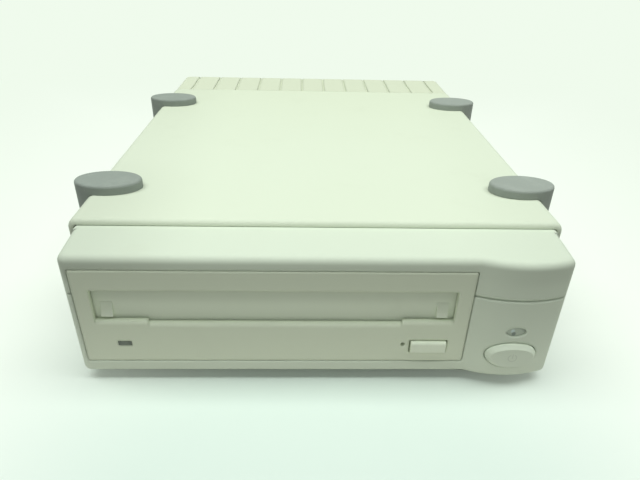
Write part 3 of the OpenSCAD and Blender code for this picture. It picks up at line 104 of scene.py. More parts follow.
def colour_property(name, description, default):
    return FloatVectorProperty(
        name=name, description=description, subtype="COLOR", size=3, min=0.0, max=1.0, default=default
    )


def length_property(name, description, default):
    return FloatProperty(name=name, description=description, unit="LENGTH", min=0.0, default=default)


def factor_property(name, description, default):
    return FloatProperty(
        name=name, description=description, subtype="FACTOR", min=0.0, max=1.0, default=default
    )


class PlasticLook(PropertyGroup):
    """Moulded plastic of the case and of the drive's front."""

    colour: colour_property("Colour", "Plastic as moulded", (0.75, 0.815, 0.68))
    # Also the colour of the painted shade towards the back.
    yellowed_and_shaded: colour_property("Aged", "Plastic where it has yellowed", (0.72, 0.78, 0.63))
    # A darker copy of the case plastic: painted shade.
    front: colour_property("Front", "Plastic of the front bezel and the power button", (0.71, 0.78, 0.665))
    # A darker copy of the case plastic: painted shade, as less light falls at the back.
    rear: colour_property("Rear", "Plastic of the rear bezel", (0.705, 0.755, 0.62))
    drive: colour_property("Drive front", "Plastic of the drive's own front", (0.75, 0.81, 0.665))
    # A lighter copy of the drive's plastic: painted light on the door and the eject button.
    moving_painted_lighter: colour_property("Moving", "Plastic of the slot's door and eject button", (0.85, 0.92, 0.775))
    handled: colour_property("Handled", "Marks left by hands", (0.64, 0.68, 0.56))
    roughness: factor_property("Roughness", "Sheen of the moulded skin", 0.6)
    grain: length_property("Grain", "Size of the moulded grain", 0.45 * MM)
    edge: length_property("Edge", "Radius of the moulded edges", 0.35 * MM)
    soft_edge: length_property("Soft edge", "Radius of the bezels' and the faceplate's shading", 1.7 * MM)


class RubberLook(PropertyGroup):
    """Rubber of the feet and of the drive's bushes."""

    colour: colour_property("Colour", "Rubber as moulded", (0.285, 0.32, 0.295))
    bloom: colour_property("Bloom", "Pale bloom on the rubber", (0.36, 0.395, 0.365))
    roughness: factor_property("Roughness", "Sheen of the rubber", 0.72)
    edge: length_property("Edge", "Radius of the cut edges", 0.4 * MM)


class MetalLook(PropertyGroup):
    """Steel, iron, alloy, brass and copper."""

    zinc: colour_property("Zinc", "Plated sheet steel", (0.58, 0.59, 0.60))
    steel: colour_property("Steel", "Turned steel", (0.62, 0.62, 0.63))
    alloy: colour_property("Alloy", "Cast and extruded alloy", (0.66, 0.67, 0.68))
    iron: colour_property("Iron", "Yokes and ferrite", (0.045, 0.045, 0.05))
    brass: colour_property("Brass", "Contacts and pinions", (0.72, 0.53, 0.22))
    copper: colour_property("Copper", "Enamelled wire", (0.55, 0.24, 0.10))


class LensLook(PropertyGroup):
    """Light windows and glass."""

    power: colour_property("Power light", "Lens of the power light", (0.50, 0.56, 0.47))
    # A painted highlight on the lens.
    sheen: colour_property("Power sheen", "Pale patch beside the diode", (0.66, 0.77, 0.78))
    # Also the colour of the painted shade under the lens's upper rim.
    core: colour_property("Power core", "Diode behind the lens", (0.16, 0.19, 0.165))
    activity: colour_property("Activity light", "Window of the activity light", (0.085, 0.10, 0.075))
    glass: colour_property("Glass", "Objective lens", (0.55, 0.62, 0.72))
    coating: colour_property("Coating", "Bloom towards that lens's rim", (0.28, 0.16, 0.42))


class FittingLook(PropertyGroup):
    """Dark fittings, boards and wiring."""

    dark: colour_property("Dark plastic", "Switches, fan and inlet", (0.022, 0.022, 0.024))
    white: colour_property("White plastic", "Gear and dial", (0.72, 0.72, 0.68))
    laminate: colour_property("Laminate", "Circuit boards", (0.02, 0.12, 0.055))
    chip: colour_property("Chips", "Packages on the boards", (0.018, 0.018, 0.02))
    pad: colour_property("Pads", "Tinned pads on the boards", (0.55, 0.53, 0.46))
    hole: colour_property("Holes", "Holes in those pads", (0.02, 0.02, 0.02))
    insert: colour_property("Insert", "Insert of the bus ports", (0.02, 0.02, 0.022))
    tape: colour_property("Tape", "Tape on the transformer's windings", (0.50, 0.38, 0.06))
    # Painted shade between the tape's turns.
    painted_tape_seam_shade: colour_property("Tape seam", "That tape between its turns", (0.32, 0.23, 0.03))
    sleeve: colour_property("Sleeve", "Shrink sleeve of the capacitor", (0.02, 0.03, 0.07))
    stripe: colour_property("Stripe", "Stripe down that sleeve", (0.42, 0.43, 0.45))
    can: colour_property("Can", "Bare top of the capacitor", (0.62, 0.63, 0.64))
    ribbon: colour_property("Ribbon", "Flat cable", (0.36, 0.37, 0.38))
    first_wire: colour_property("First wire", "Marked edge of that cable", (0.30, 0.05, 0.04))
    lead: colour_property("Leads", "Sleeves of the leads", (0.05, 0.05, 0.055))
    screw_sides: IntProperty(name="Screw sides", description="Facets round a screw", min=12, default=32)


class StageLook(PropertyGroup):
    """Floor, light and camera."""

    # The floor's colour in front of the object, darker than far_floor as painted shade.
    floor: colour_property("Floor", "Pale floor", (0.70, 0.80, 0.755))
    bounce: colour_property("Bounce", "Light that the floor by the object gives back", (0.72, 0.71, 0.675))
    backdrop: colour_property("Backdrop", "Pale background", (0.87, 0.965, 0.845))
    far_floor: colour_property("Far floor", "Floor beside and behind the object", (0.97, 1.0, 0.96))
    light: colour_property("Light", "Tint of the soft light", (0.95, 1.0, 0.94))
    key: FloatProperty(name="Key", description="Power of the soft box overhead", unit="POWER", default=51.0)
    fill: FloatProperty(name="Fill", description="Power of the front soft box", unit="POWER", default=3.6)
    ambient: FloatProperty(name="Ambient", description="Light from all round", min=0.0, default=0.1)
    table: length_property("Table", "Radius of the floor that gives its light back in full", 0.185)
    dusk: factor_property("Dusk", "Share of its light that the floor beyond gives back", 0.1)
    lens: FloatProperty(name="Lens", description="Focal length on a 36 mm frame, in mm", default=29.8)


class DriveLook(PropertyGroup):
    """Every finish of the drive."""

    plastic: PointerProperty(type=PlasticLook)
    rubber: PointerProperty(type=RubberLook)
    metal: PointerProperty(type=MetalLook)
    lens: PointerProperty(type=LensLook)
    fitting: PointerProperty(type=FittingLook)
    stage: PointerProperty(type=StageLook)


class Socket:
    """A shader value: arithmetic on it adds Math nodes."""

    def __init__(self, shader, socket):
        self.shader = shader
        self.socket = socket

    def maths(self, operation, *terms):
        return self.shader.node("ShaderNodeMath", {"operation": operation}, dict(enumerate(terms)))

    def __add__(self, other):
        return self.maths("ADD", self, other)

    def __radd__(self, other):
        return self.maths("ADD", other, self)

    def __sub__(self, other):
        return self.maths("SUBTRACT", self, other)

    def __rsub__(self, other):
        return self.maths("SUBTRACT", other, self)

    def __mul__(self, other):
        return self.maths("MULTIPLY", self, other)

    def __rmul__(self, other):
        return self.maths("MULTIPLY", other, self)

    def __truediv__(self, other):
        return self.maths("DIVIDE", self, other)

    def __rtruediv__(self, other):
        return self.maths("DIVIDE", other, self)

    def __lt__(self, other):
        return self.maths("LESS_THAN", self, other)

    def __gt__(self, other):
        return self.maths("GREATER_THAN", self, other)

    def __abs__(self):
        return self.maths("ABSOLUTE", self)

    def fold(self, pitch):
        """The remainder within one pitch."""
        return self.maths("FLOORED_MODULO", self, pitch)

    def larger(self, other):
        return self.maths("MAXIMUM", self, other)

    def smaller(self, other):
        return self.maths("MINIMUM", self, other)

    def diagonal(self, other):
        """The distance that two lengths at a right angle span."""
        return self.maths("SQRT", self * self + other * other)

    def ridges(self, pitch):
        """1 at the ends of every pitch and 0 at its middle."""
        return abs(self.fold(pitch) / pitch - 0.5) * 2.0

    def ease(self, low, high):
        """0 below low, 1 above high and smooth between."""
        return self.shader.node(
            "ShaderNodeMapRange",
            {"interpolation_type": "SMOOTHSTEP"},
            {"Value": self, "From Min": low, "From Max": high},
        )


class Shader:
    """The nodes of a material or of the room."""

    def __init__(self, owner):
        owner.use_nodes = True
        self.tree = owner.node_tree

    def node(self, kind, settings=None, inputs=None, out=0):
        made = self.tree.nodes.new(kind)
        for key, value in (settings or {}).items():
            setattr(made, key, value)
        for key, value in (inputs or {}).items():
            self.plug(made.inputs[key], value)
        return Socket(self, made.outputs[out])

    def plug(self, socket, value):
        if isinstance(value, Socket):
            self.tree.links.new(value.socket, socket)
        elif hasattr(value, "__len__") and len(value) == 3 and socket.type == "RGBA":
            socket.default_value = (*value, 1.0)
        else:
            socket.default_value = value

    def seen(self):
        """1 where the camera, a reflection or glass shows this, 0 where it only gives light."""
        camera, glossy, through = (
            self.node("ShaderNodeLightPath", out=ray)
            for ray in ("Is Camera Ray", "Is Glossy Ray", "Is Transmission Ray")
        )
        return camera.larger(glossy).larger(through)

    def glow(self, kind, colour, strength=1.0):
        return self.node(kind, inputs={"Color": colour, "Strength": strength})

    def blend(self, share, first, second):
        return self.node("ShaderNodeMixShader", inputs={0: share, 1: first, 2: second})

    def show(self, output, shader):
        self.plug(self.tree.nodes[output].inputs["Surface"], shader)


class Finish(Shader):
    """The nodes of one material, with its place on the object."""

    def __init__(self, name):
        self.material = bpy.data.materials.new(name)
        super().__init__(self.material)
        self.skin = self.tree.nodes["Principled BSDF"]
        self.place = self.node("ShaderNodeTexCoord", out="Object")
        self.x, self.y, self.z = (
            self.node("ShaderNodeSeparateXYZ", inputs={0: self.place}, out=axis) for axis in range(3)
        )

    def noise(self, size, detail=3.0, roughness=0.5, stretch=None):
        """Cloudy values from 0 to 1 whose patches are about size across, in metres."""
        place = self.place
        if stretch:
            place = self.node("ShaderNodeVectorMath", {"operation": "MULTIPLY"}, {0: place, 1: stretch})
        return self.node(
            "ShaderNodeTexNoise",
            inputs={"Vector": place, "Scale": 1.0 / size, "Detail": detail, "Roughness": roughness},
        )

    def mix(self, share, first, second):
        return self.node("ShaderNodeMix", {"data_type": "RGBA"}, {0: share, 6: first, 7: second}, out=2)

    def bump(self, height, strength, depth, radius=0.0):
        """Relief of the surface, with its edges rounded to a radius."""
        inputs = {"Strength": strength, "Distance": depth, "Height": height}
        if radius > 0.0:
            inputs["Normal"] = self.node("ShaderNodeBevel", {"samples": 6}, {"Radius": radius})
            # A rounded edge takes light that only grazes the flat face beside it.
            self.material.cycles.use_bump_map_correction = False
        return self.node("ShaderNodeBump", inputs=inputs)

    def edges(self, radius):
        """Near 1 on convex and concave edges within that radius, 0 on open faces."""
        turned = self.node("ShaderNodeBevel", {"samples": 4}, {"Radius": radius})
        straight = self.node("ShaderNodeNewGeometry", out="Normal")
        along = self.node(
            "ShaderNodeVectorMath", {"operation": "DOT_PRODUCT"}, {0: turned, 1: straight}, out="Value"
        )
        return (1.0 - along).ease(0.01, 0.25)

    def surface(self, **sockets):
        for key, value in sockets.items():
            self.plug(self.skin.inputs[key.replace("_", " ")], value)
        return self.material


def tone(colour, factor):
    """A colour made lighter or darker, but not past white."""
    return [min(1.0, part * factor) for part in colour]


def box_middle(node):
    low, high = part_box(node)
    return (low + high) / 2


def moulded_plastic(name, look, colour, edge, relief=None, mark_or_painted_shade=None):
    """Grained plastic, yellowed here and there, painted darker towards the back as shade, and handled;
    relief is extra height and the darkening mask a sign or painted shade.
    """
    made = Finish(name)
    yellowed_and_shaded = [c * old / new for c, old, new in zip(colour, look.yellowed_and_shaded, look.colour)]
    age = made.noise(90 * MM).ease(0.38, 0.72)
    hands = made.noise(22 * MM, detail=6, roughness=0.62).ease(0.56, 0.82)
    speck = made.noise(1.1 * MM, detail=2).ease(0.66, 0.74)
    wear = made.edges(0.7 * MM)
    grain = made.noise(look.grain, detail=2, roughness=0.6)
    waves = made.noise(2.6 * MM, detail=2)
    # Painted shade: darker and yellower towards the back, where less light falls.
    painted_back_shade = made.y.ease(-60 * MM, 130 * MM)
    tint = made.mix((age * 0.15 + painted_back_shade).smaller(1.0), colour, yellowed_and_shaded)
    tint = made.mix(hands * 0.16, tint, look.handled)
    tint = made.mix(speck * 0.10, tint, look.handled)
    tint = made.mix(wear * 0.18, tint, tone(colour, 1.12))
    # Darker where the mask lies: a sign, or painted shade.
    if mark_or_painted_shade is not None:
        tint = made.mix(mark_or_painted_shade(made) * 0.22, tint, tone(colour, 0.45))
    rough = look.roughness + (hands - 0.5) * 0.10 + (grain - 0.5) * 0.10 - wear * 0.08
    height = grain * 0.6 + waves * 0.4
    if relief is not None:
        height = height + relief(made)
    return made.surface(
        Base_Color=tint,
        Roughness=rough,
        Normal=made.bump(height, strength=0.14, depth=0.12 * MM, radius=edge),
        Specular_IOR_Level=0.18,
    )


def foot_rubber(look):
    """Matt rubber with rubbed edges and a pale bloom, made stronger on the right as painted light."""
    made = Finish("foot_rubber")
    bloom = made.noise(9 * MM, detail=5, roughness=0.6).ease(0.45, 0.8)
    pores = made.noise(0.5 * MM, roughness=0.6)
    dust = made.noise(2.2 * MM, detail=4, roughness=0.7).ease(0.6, 0.75)
    wear = made.edges(0.9 * MM)
    # Painted light: paler towards the right, where more light falls.
    right = made.x.ease(0.0, 90 * MM)
    tint = made.mix((bloom * 0.55 + right * 0.6).smaller(1.0), look.colour, look.bloom)
    tint = made.mix(dust * 0.20, tint, tone(look.bloom, 1.5))
    tint = made.mix(wear * 0.30, tint, look.bloom)
    return made.surface(
        Base_Color=tint,
        Roughness=look.roughness + (pores - 0.5) * 0.2 - wear * 0.1,
        Normal=made.bump(pores, strength=0.25, depth=0.1 * MM),
        Specular_IOR_Level=0.3,
    )


def plated_sheet(name, colour):
    """Zinc-plated sheet with its spangle, roller lines and a few scuffs."""
    made = Finish(name)
    spangle = made.node(
        "ShaderNodeTexVoronoi", inputs={"Vector": made.place, "Scale": 1.0 / (3.5 * MM)}, out="Color"
    )
    flake = made.node("ShaderNodeSeparateColor", inputs={0: spangle}, out=0)
    roll = made.noise(1.2 * MM, roughness=0.6, stretch=(6.0, 0.25, 6.0))
    scuff = made.noise(6 * MM, detail=6, roughness=0.7, stretch=(1.0, 3.0, 1.0)).ease(0.62, 0.72)
    tint = made.mix(flake * 0.35, colour, tone(colour, 0.82))
    tint = made.mix(scuff * 0.35, tint, tone(colour, 1.2))
    return made.surface(
        Base_Color=tint,
        Metallic=0.85,
        Roughness=0.36 + (roll - 0.5) * 0.22 + scuff * 0.12,
        Normal=made.bump(roll, strength=0.08, depth=0.05 * MM),
    )


def turned_steel(name, colour, roughness=0.28):
    """Bright steel with turning lines."""
    made = Finish(name)
    lines = made.noise(0.6 * MM, roughness=0.6, stretch=(0.3, 0.3, 5.0))
    stain = made.noise(7 * MM, detail=4, roughness=0.6).ease(0.55, 0.8)
    tint = made.mix(stain * 0.3, colour, tone(colour, 0.7))
    return made.surface(
        Base_Color=tint,
        Metallic=0.95,
        Roughness=roughness + (lines - 0.5) * 0.2 + stain * 0.1,
        Normal=made.bump(lines, strength=0.06, depth=0.04 * MM),
    )


def cast_alloy(name, colour):
    """Die-cast alloy with a blasted skin and bright edges."""
    made = Finish(name)
    skin = made.noise(0.7 * MM, detail=4, roughness=0.65)
    cloud = made.noise(12 * MM, detail=4)
    wear = made.edges(0.5 * MM)
    tint = made.mix(cloud * 0.4, colour, tone(colour, 0.75))
    return made.surface(
        Base_Color=tint,
        Metallic=0.9,
        Roughness=0.48 + (skin - 0.5) * 0.25 - wear * 0.2,
        Normal=made.bump(skin, strength=0.2, depth=0.08 * MM),
    )


def dark_plastic(look):
    """Black glass-filled plastic with flow lines and dusty edges."""
    made = Finish("dark_plastic")
    flow = made.noise(5 * MM, detail=5, roughness=0.6, stretch=(1.0, 3.0, 1.0))
    grain = made.noise(0.4 * MM, detail=2)
    wear = made.edges(0.5 * MM)
    tint = made.mix(flow * 0.5, look.dark, tone(look.dark, 1.9))
    tint = made.mix(wear * 0.25, tint, tone(look.dark, 4.0))
    return made.surface(
        Base_Color=tint,
        Roughness=0.42 + (grain - 0.5) * 0.2 + (flow - 0.5) * 0.1,
        Normal=made.bump(grain, strength=0.12, depth=0.06 * MM),
    )


def white_plastic(look):
    """Slippery white plastic of gears and dials, greyed in the grooves."""
    made = Finish("white_plastic")
    grain = made.noise(0.35 * MM, detail=2)
    grease = made.noise(4 * MM, detail=5, roughness=0.6).ease(0.5, 0.8)
    tint = made.mix(grease * 0.35, look.white, tone(look.white, 0.6))
    return made.surface(
        Base_Color=tint,
        Roughness=0.4 + (grain - 0.5) * 0.15 - grease * 0.15,
        Normal=made.bump(grain, strength=0.08, depth=0.05 * MM),
    )


def wound_copper(name, colour):
    """Enamelled wire laid turn by turn."""
    made = Finish(name)
    wire = 0.32 * MM
    turn = made.y.ridges(wire)
    wander = made.noise(3 * MM)
    # Painted shade in the grooves between the turns.
    tint = made.mix(turn * 0.7, colour, tone(colour, 0.35))
    tint = made.mix(wander * 0.3, tint, tone(colour, 1.5))
    return made.surface(
        Base_Color=tint,
        Metallic=0.7,
        Roughness=0.28 + turn * 0.15,
        Normal=made.bump(1.0 - turn * turn, strength=0.6, depth=0.1 * MM),
        Coat_Weight=0.5,
    )


def ribbon_sleeve(look):
    """Ribbed grey flat cable with one dark edge wire."""
    made = Finish("ribbon_sleeve")
    low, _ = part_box("ribbon_cable")
    wire = 1.27 * MM
    across = made.x - low.x
    rib = across.ridges(wire)
    first = across < wire
    scuff = made.noise(5 * MM, detail=4)
    # Painted shade in the grooves between the wires.
    tint = made.mix(rib * 0.5, look.ribbon, tone(look.ribbon, 0.55))
    tint = made.mix(first, tint, look.first_wire)
    return made.surface(
        Base_Color=tint,
        Roughness=0.45 + (scuff - 0.5) * 0.15,
        Normal=made.bump(1.0 - rib * rib, strength=0.7, depth=0.25 * MM),
    )


def lead_sleeve(look):
    """Extruded sleeve with faint draw lines."""
    made = Finish("lead_sleeve")
    draw = made.noise(0.8 * MM, roughness=0.6)
    smear = made.noise(9 * MM, detail=4)
    tint = made.mix(smear * 0.6, look.lead, tone(look.lead, 2.0))
    return made.surface(
        Base_Color=tint,
        Roughness=0.4 + (draw - 0.5) * 0.2,
        Normal=made.bump(draw, strength=0.1, depth=0.06 * MM),
    )


def power_lens_finish(look):
    """Clear grey lens with a painted pale highlight and a dark diode low on the left, and painted shade
    under its upper rim.
    """
    made = Finish("power_lens")
    low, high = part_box("power_lens")
    middle, half = (low + high) / 2, (high - low) / 2
    across = (made.x - middle.x) / half.x
    up = (made.z - middle.z) / half.z

    def patch(place, rise, width, height):
        """A soft oval on the lens, in shares of the lens's half width and height."""
        return 1.0 - ((across - place) / width).diagonal((up - rise) / height).ease(0.4, 1.0)

    haze = made.noise(0.8 * MM)
    # A painted highlight left of the middle.
    sheen = patch(place=-0.35, rise=0.1, width=0.28, height=0.6)
    diode = patch(place=-0.2, rise=-0.5, width=0.3, height=0.6)
    # Painted shade under the lens's upper rim.
    rim = across.diagonal(up).ease(0.5, 0.9) * (up * 0.8 + across * 0.5).ease(0.1, 0.6)
    tint = made.mix(haze * 0.4, look.power, tone(look.power, 0.85))
    tint = made.mix(sheen * 0.8, tint, look.sheen)
    tint = made.mix(rim * 0.55, tint, look.core)
    tint = made.mix(diode * 0.9, tint, look.core)
    return made.surface(
        Base_Color=tint,
        Roughness=0.3 + haze * 0.1,
        Coat_Weight=0.2,
        Normal=made.bump(haze, strength=0.03, depth=0.05 * MM),
    )


def activity_lens_finish(look):
    """Dark window with a faint diode behind it."""
    made = Finish("activity_lens")
    low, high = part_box("activity_lens")
    middle = (low + high) / 2
    across = (made.x - middle.x) / (high.x - low.x)
    haze = made.noise(0.6 * MM)
    glow = 1.0 - abs(across).ease(0.1, 0.42)
    tint = made.mix(glow * 0.35 + haze * 0.15, look.activity, tone(look.activity, 1.8))
    return made.surface(Base_Color=tint, Roughness=0.16 + haze * 0.1, Coat_Weight=0.5)


def objective_glass(look):
    """Coated glass with a violet bloom towards its rim."""
    made = Finish("objective_glass")
    middle = box_middle("objective_lens")
    rim = (made.x - middle.x).diagonal(made.y - middle.y).ease(1.2 * MM, 2.8 * MM)
    dust = made.noise(0.4 * MM, detail=2)
    tint = made.mix(rim * 0.6, look.glass, look.coating)
    return made.surface(Base_Color=tint, Roughness=0.05 + dust * 0.06, Metallic=0.3, Coat_Weight=1.0)


def ferrite(name, colour):
    """Sintered iron with a fine sparkle."""
    made = Finish(name)
    grit = made.noise(0.35 * MM, roughness=0.7)
    cloud = made.noise(8 * MM)
    wear = made.edges(0.4 * MM)
    tint = made.mix(cloud * 0.5, colour, tone(colour, 2.0))
    tint = made.mix(wear * 0.4, tint, tone(colour, 4.0))
    return made.surface(
        Base_Color=tint,
        Metallic=0.4,
        Roughness=0.5 + (grit - 0.5) * 0.3,
        Normal=made.bump(grit, strength=0.2, depth=0.05 * MM),
    )


def transformer_finish(metal, fitting):
    """Ferrite core with taped windings where the core is open."""
    made = Finish("transformer")
    middle = box_middle("supply_transformer")
    half_width, core_half, half_height, turn_pitch = 11.05 * MM, 7.2 * MM, 8.05 * MM, 0.6 * MM
    window = (abs(made.z - middle.z) < half_height) * (abs(made.y - middle.y) > core_half)
    window = window * (abs(made.x - middle.x) < half_width)
    grit = made.noise(0.4 * MM)
    turn = made.z.ridges(turn_pitch)
    # Painted shade where the tape's turns meet.
    tape = made.mix(turn * 0.4, fitting.tape, fitting.painted_tape_seam_shade)
    core = made.mix(grit * 0.6, metal.iron, tone(metal.iron, 2.2))
    return made.surface(
        Base_Color=made.mix(window, core, tape),
        Roughness=0.45 + (grit - 0.5) * 0.2 - window * 0.12,
        Normal=made.bump(grit * 0.4 + (1.0 - turn) * window, strength=0.25, depth=0.08 * MM),
    )


def capacitor_finish(look):
    """Shrink sleeve with a pale stripe and a bare scored top."""
    made = Finish("capacitor_sleeve")
    low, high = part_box("supply_capacitor")
    middle = (low + high) / 2
    top_depth, stripe_side, score_half = 1.2 * MM, 7 * MM, 0.3 * MM
    top = made.z > high.z - top_depth
    stripe = (made.x < middle.x - stripe_side) * (1.0 - top)
    cross = (abs(made.x - middle.x).smaller(abs(made.y - middle.y)) < score_half) * top
    grain = made.noise(0.7 * MM)
    tint = made.mix(stripe, look.sleeve, look.stripe)
    tint = made.mix(top, tint, look.can)
    return made.surface(
        Base_Color=tint,
        Metallic=top * 0.9,
        Roughness=0.32 + (grain - 0.5) * 0.15,
        Normal=made.bump(grain * 0.2 - cross, strength=0.4, depth=0.2 * MM),
    )


def port_finish(metal, fitting):
    """Nickel-plated shell round a dark insert."""
    made = Finish("bus_port")
    upper, lower = (box_middle(node) for node in BUS_PORTS)
    _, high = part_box(BUS_PORTS[0])
    insert_depth, shell_depth, half_width, half_thick = 5.2 * MM, 5.8 * MM, 16.1 * MM, 1.75 * MM
    insert = (made.y > high.y - insert_depth) * (abs(made.x - upper.x) < half_width)
    insert = insert * (abs(made.z - upper.z).smaller(abs(made.z - lower.z)) < half_thick)
    dark = insert.larger(made.y < high.y - shell_depth)
    lines = made.noise(0.5 * MM, roughness=0.6, stretch=(0.3, 3.0, 3.0))
    tint = made.mix(dark, metal.steel, fitting.insert)
    return made.surface(
        Base_Color=tint,
        Metallic=(1.0 - dark) * 0.95,
        Roughness=0.3 + (lines - 0.5) * 0.2 + dark * 0.15,
        Normal=made.bump(lines, strength=0.06, depth=0.04 * MM),
    )


def board_material(node, look, facing, sheet, half_thick):
    """Solder-masked laminate with tracks and pads; what stands off the sheet is dark packages."""
    made = Finish(node)
    axes = {"x": made.x, "y": made.y, "z": made.z}
    depth = axes.pop(facing)
    first, second = axes.values()
    pitch, half_track, pad_radius, hole_radius = 2.54 * MM, 0.28 * MM, 0.62 * MM, 0.3 * MM
    lane = abs(first.fold(pitch) - pitch / 2)
    row = abs(second.fold(pitch) - pitch / 2)
    patch = made.noise(14 * MM, detail=1).ease(0.49, 0.51)
    track = (lane < half_track) * patch + (row < half_track) * (1.0 - patch)
    reach = lane.diagonal(row)
    pad = (reach < pad_radius) * made.noise(9 * MM, detail=0).ease(0.52, 0.54)
    hole = (reach < hole_radius) * pad
    package = abs(depth - sheet) > half_thick
    bare = 1.0 - package
    weave = made.noise(0.5 * MM, detail=2)
    tint = made.mix(track * 0.55, look.laminate, tone(look.laminate, 2.2))
    tint = made.mix(pad, tint, look.pad)
    tint = made.mix(hole, tint, look.hole)
    tint = made.mix(package, tint, look.chip)
    return made.surface(
        Base_Color=tint,
        Metallic=pad * bare * 0.8,
        Roughness=0.34 + (weave - 0.5) * 0.15 + package * 0.2,
        Normal=made.bump((track + pad) * 0.5 * bare + weave * 0.1, strength=0.25, depth=0.05 * MM),
    )


def board_finish(node, look):
    """Finish of one board, told which way its sheet faces and where the sheet lies."""
    low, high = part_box(node)
    if node == "drive_board":
        return board_material(node, look, facing="z", sheet=high.z - 1.8 * MM, half_thick=0.65 * MM)
    if node == "supply_board":
        return board_material(node, look, facing="z", sheet=low.z + 0.6 * MM, half_thick=0.65 * MM)
    return board_material(node, look, facing="y", sheet=high.y - 0.8 * MM, half_thick=0.85 * MM)


def power_mark(made):
    """Bar within an open ring, the generic sign for on and off, at the middle of the button."""
    low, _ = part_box("power_button")
    middle = box_middle("power_button")
    radius, half_line, half_gap, bar_top, depth = 1.65 * MM, 0.2 * MM, 0.7 * MM, 2.0 * MM, 3.0 * MM
    across = made.x - middle.x
    up = made.z - middle.z - half_line
    ring = abs(across.diagonal(up) - radius) < half_line
    gap = (abs(across) < half_gap) * (up > 0.0)
    bar = (abs(across) < half_line) * (up > -half_line) * (up < bar_top)
    return (ring * (1.0 - gap)).larger(bar) * (made.y < low.y + depth)


def power_relief(made):
    """That sign as a sunken line."""
    return power_mark(made) * -1.5


def painted_end_shade(node):
    """Painted shade on the top of a case piece towards its ends, darker on the left and in front, where
    less light falls.
    """
    low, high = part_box(node)

    def end_shade(made):
        left = 1.0 - made.x.ease(low.x, low.x + 55 * MM)
        right = made.x.ease(high.x - 50 * MM, high.x)
        behind = made.y.ease(low.y + 20 * MM, low.y + 70 * MM)
        top = made.z.ease(high.z - 12 * MM, high.z - 6 * MM)
        return (left * 1.35 + right * 0.6) * (1.0 - behind * 0.55) * top

    return end_shade


def painted_door_shadow(made):
    """Painted shadow on the door under the slot's upper edge."""
    _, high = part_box("slot_door")
    return made.z.ease(high.z - 13.5 * MM, high.z - 7 * MM) * 1.6


def set_finish(nodes, material):
    for name in nodes:
        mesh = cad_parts[name].data
        mesh.materials.clear()
        mesh.materials.append(material)


def weld(piece):
    piece.data.shade_smooth()
    piece.modifiers.new("weld", "WELD").merge_threshold = WELD_REACH


def even_normals(piece):
    piece.modifiers.new("normals", "WEIGHTED_NORMAL").weight = NORMAL_WEIGHT


def smooth_faces(nodes, angle=SHARP_ANGLE):
    """Evens out the shading of curved faces and keeps the edges sharp."""
    for name in nodes:
        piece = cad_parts[name]
        weld(piece)
        piece.modifiers.new("sharp", "EDGE_SPLIT").split_angle = math.radians(angle)
        even_normals(piece)


def round_edges(nodes, radius):
    """Breaks the sharp edges of pieces and evens out the shading of their curved faces."""
    for name in nodes:
        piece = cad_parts[name]
        weld(piece)
        flat = piece.modifiers.new("flat_faces", "DECIMATE")
        flat.decimate_type = "DISSOLVE"
        flat.angle_limit = math.radians(FLAT_ANGLE)
        bevel = piece.modifiers.new("edges", "BEVEL")
        bevel.width = radius
        bevel.segments = 3
        bevel.limit_method = "ANGLE"
        bevel.angle_limit = math.radians(BEVEL_ANGLE)
        bevel.miter_outer = "MITER_ARC"
        even_normals(piece)


def finished_mesh(name, made):
    mesh = bpy.data.meshes.new(name)
    made.to_mesh(mesh)
    made.free()
    return mesh


def new_piece(name, made, material, body):
    mesh = finished_mesh(name, made)
    mesh.materials.append(material)
    piece = bpy.data.objects.new(name, mesh)
    bpy.context.scene.collection.objects.link(piece)
    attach(piece, body)
    return piece


def lathe(made, profile, sides):
    """Turns a profile of (radius, height) pairs about Z into made, from the axis and back to it."""
    rings = []
    for radius, height in profile:
        if radius == 0.0:
            rings.append([made.verts.new((0.0, 0.0, height))])
            continue
        turn = (2.0 * math.pi * k / sides for k in range(sides))
        rings.append([made.verts.new((radius * math.cos(a), radius * math.sin(a), height)) for a in turn])
    for low, high in zip(rings, rings[1:]):
        for k in range(sides):
            after = (k + 1) % sides
            turns = ((low, k), (low, after), (high, after), (high, k))
            corners = [ring[place % len(ring)] for ring, place in turns]
            face = made.faces.new(list(dict.fromkeys(corners)))
            face.smooth = True


def screw_profile(length):
    """Threaded shank under a low domed head whose seat is at height 0."""
    root, crest, pitch, neck = 1.15 * MM, 1.4 * MM, 0.7 * MM, 0.1 * MM
    profile = [(0.0, -length), (root * 0.6, -length)]
    for k in range(int(length / pitch)):
        start = -length + (k + 0.15) * pitch
        profile += [(root, start), (crest, start + pitch * 0.3), (root, start + pitch * 0.6)]
    profile += [(crest, -neck), (HEAD_RADIUS, 0.0), (HEAD_RADIUS, HEAD_SIDE)]
    steps = 6
    for k in range(1, steps):
        rise = math.radians(90.0 * k / steps)
        # The power flattens the dome.
        profile.append((HEAD_RADIUS * math.cos(rise) ** 0.6, HEAD_SIDE + HEAD_DOME * math.sin(rise)))
    return [*profile, (0.0, HEAD_HEIGHT)]


def cross_cutter():
    """Tapered cross that a driver's tip leaves."""
    made = bmesh.new()
    # Half length, half width and height of an arm's lower and upper end.
    lower, upper = (0.9 * MM, 0.22 * MM, 0.35 * MM), (1.75 * MM, 0.40 * MM, 2.2 * MM)
    for turn in (0.0, 90.0):
        arm = bmesh.ops.create_cube(made, size=1.0)["verts"]
        for vert in arm:
            length, width, height = lower if vert.co.z < 0.0 else upper
            vert.co = (math.copysign(length, vert.co.x), math.copysign(width, vert.co.y), height)
        spin = Matrix.Rotation(math.radians(turn), 3, "Z")
        bmesh.ops.rotate(made, verts=arm, cent=(0.0, 0.0, 0.0), matrix=spin)
    return finished_mesh("cross_cutter", made)


